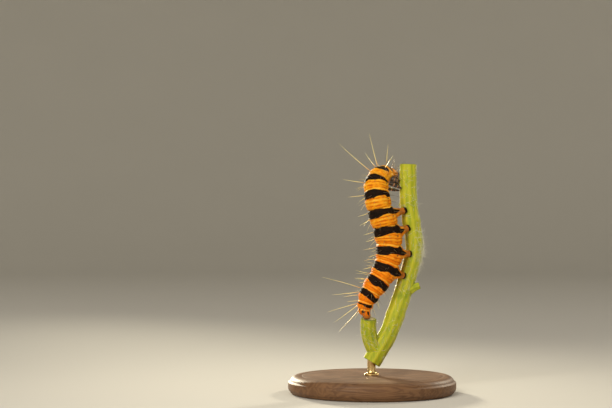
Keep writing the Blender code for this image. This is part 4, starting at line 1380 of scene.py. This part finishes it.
def makeStand():
    material, tree, height, tone = startMaterial("turned walnut", grainSize=0.16, patchSize=3.0, constants={
        "Specular IOR Level": 0.35})
    place = stretchedPlace(tree, (0.16, 1.0, 1.0), (0.0, 0.12, 0.3))
    grainLines = maths("SINE", maths("MULTIPLY", noiseValue(place, 0.30 / mm, 3, 0.5, 0.3), 85.0))
    pores = noiseValue(place, 5.0 / mm, 2, 0.6)
    colour = paintOver((0.125, 0.058, 0.025), (grainLines, -1.0, 1.0, 1.0, (0.185, 0.092, 0.040)),
                       (pores, 0.60, 0.72, 0.6, (0.05, 0.022, 0.010)),
                       (tone, 0.4, 0.8, 0.4, (0.26, 0.13, 0.055)))
    height = maths("ADD", maths("MULTIPLY", pores, -1.0), maths("MULTIPLY", height, 0.2))
    endMaterial(material, colour, spread(tone, 0.2, 0.8, 0.46, 0.62), height, bump=0.02)
    profile, fine = standLook["base"], []
    for start, end in zip(np.array(profile), np.array(profile[1:])):
        steps = 1 if np.abs(end - start).sum() < 0.4 else 4
        fine += [start + (end - start) * k / steps for k in range(steps)]
    shell = ringShell(turnedRings([*fine, profile[-1]], around=160))
    makePiece("stand_base_turned", shell, material, "stand_wood", ["stand_base"], uvMap=True)

    brass, tree, _, tone = startMaterial("satin brass", grainSize=0.05, patchSize=1.2, constants={
        "Metallic": 1.0, "Anisotropic": 0.3})
    fineLines = noiseValue(stretchedPlace(tree, (1.0, 1.0, 14.0)), 2.5 / mm, 2, 0.5)
    colour = blend(spread(tone, 0.35, 0.75), (0.83, 0.60, 0.27), (0.62, 0.40, 0.15))
    endMaterial(brass, colour, spread(tone, 0.2, 0.8, 0.22, 0.38), fineLines, bump=0.004)
    shell = ringShell(turnedRings(standLook["rod"], 64, *stemFoot[:2]))
    makePiece("stand_rod_turned", shell, brass, "stand_brass", ["stand_rod"], uvMap=True)
    print("stand made")


# Stage, lights and camera

stageLook = {"around": 128, "flat": (20, 60, 120, 240, 420), "bend": 330, "wall": (600, 1100), "below": 0.03}


def makeStage():
    # a floor that bends up into a wall all round
    material = bpy.data.materials.new("pale paper")
    material.use_nodes = True
    tree = material.node_tree
    paper = tree.nodes["Principled BSDF"].inputs
    paper["Roughness"].default_value = 0.9
    paper["Specular IOR Level"].default_value = 0.1
    place = objectPlace(tree)
    away = addNode(tree, "ShaderNodeVectorMath", {0: place}, operation="LENGTH").outputs["Value"]
    # painted shade: the paper is darker away from the middle, from 60 mm out to 520 mm
    colour = paintOver((0.58, 0.56, 0.52), (away, 60 * mm, 520 * mm, 1.0, (0.50, 0.48, 0.43)),
                       (noiseValue(place, 30.0, 3), 0.3, 0.7, 0.06, (0.60, 0.57, 0.52)))
    tree.links.new(colour, paper["Base Color"])
    around, bend, floor = stageLook["around"], stageLook["bend"], -stageLook["below"]
    profile = [(radius, floor) for radius in stageLook["flat"]]
    edge = stageLook["flat"][-1]
    for turn in np.radians(range(6, 91, 6)):
        profile.append((edge + bend * math.sin(turn), bend - bend * math.cos(turn)))
    profile += [(edge + bend, height) for height in stageLook["wall"]]
    rings = turnedRings(profile, around)
    points = np.concatenate([rings.reshape(-1, 3), [(0, 0, floor)]])
    faces = [face[::-1] for face in ringFaces(len(rings), around)]
    faces += [[j, (j + 1) % around, len(points) - 1] for j in range(around)]
    cove = makePiece("stage_cove", (points, faces, []), material)


def addLight(name, kind, place, power, colour, **settings):
    light = bpy.data.lights.new(name, kind)
    light.energy = power
    light.color = colour
    for key, value in settings.items():
        setattr(light, key, value)
    lamp = addObject(name, light)
    lamp.location = Vector(place) * mm
    lamp.rotation_euler = (Vector((0.5, 0.5, 20)) - Vector(place)).to_track_quat("-Z", "Y").to_euler()
    lamp.visible_camera = False


def makeLightsAndCamera():
    scene = bpy.context.scene
    scene.view_settings.view_transform = "Standard"
    world = bpy.data.worlds.new("soft room")
    world.use_nodes = True
    world.node_tree.nodes["Background"].inputs["Color"].default_value = (1.0, 0.95, 0.87, 1)
    world.node_tree.nodes["Background"].inputs["Strength"].default_value = 0.6
    scene.world = world
    addLight("key", "AREA", (-260, -440, 330), 2.6, (1.0, 0.94, 0.82), size=300 * mm)
    addLight("fill", "AREA", (420, -380, 160), 0.5, (1.0, 0.95, 0.88), size=420 * mm)
    narrow = {"shadow_soft_size": 30 * mm, "spot_size": math.radians(16), "spot_blend": 1.0}
    addLight("rim left", "SPOT", (-185, 445, 130), 15, (1.0, 0.92, 0.70), **narrow)
    addLight("rim right", "SPOT", (330, 350, 260), 6, (1.0, 0.92, 0.74), **narrow)
    camera = addObject("camera", bpy.data.cameras.new("camera"))
    camera.data.lens = 100
    camera.data.sensor_width = 36
    camera.data.clip_start = 0.01
    camera.data.clip_end = 10
    camera.location = Vector((-9.43, -242.9, 27.0)) * mm
    camera.rotation_euler = (math.radians(90), 0, 0)
    scene.camera = camera


larvaSkin = makeSkin()
makeBristles(larvaSkin)
makeBreathingHoles(larvaSkin)
makeHooks(larvaSkin)
makeNeckShield(larvaSkin)
makeHead()
makeLegs()
makePerch()
makeStand()
makeStage()
makeLightsAndCamera()
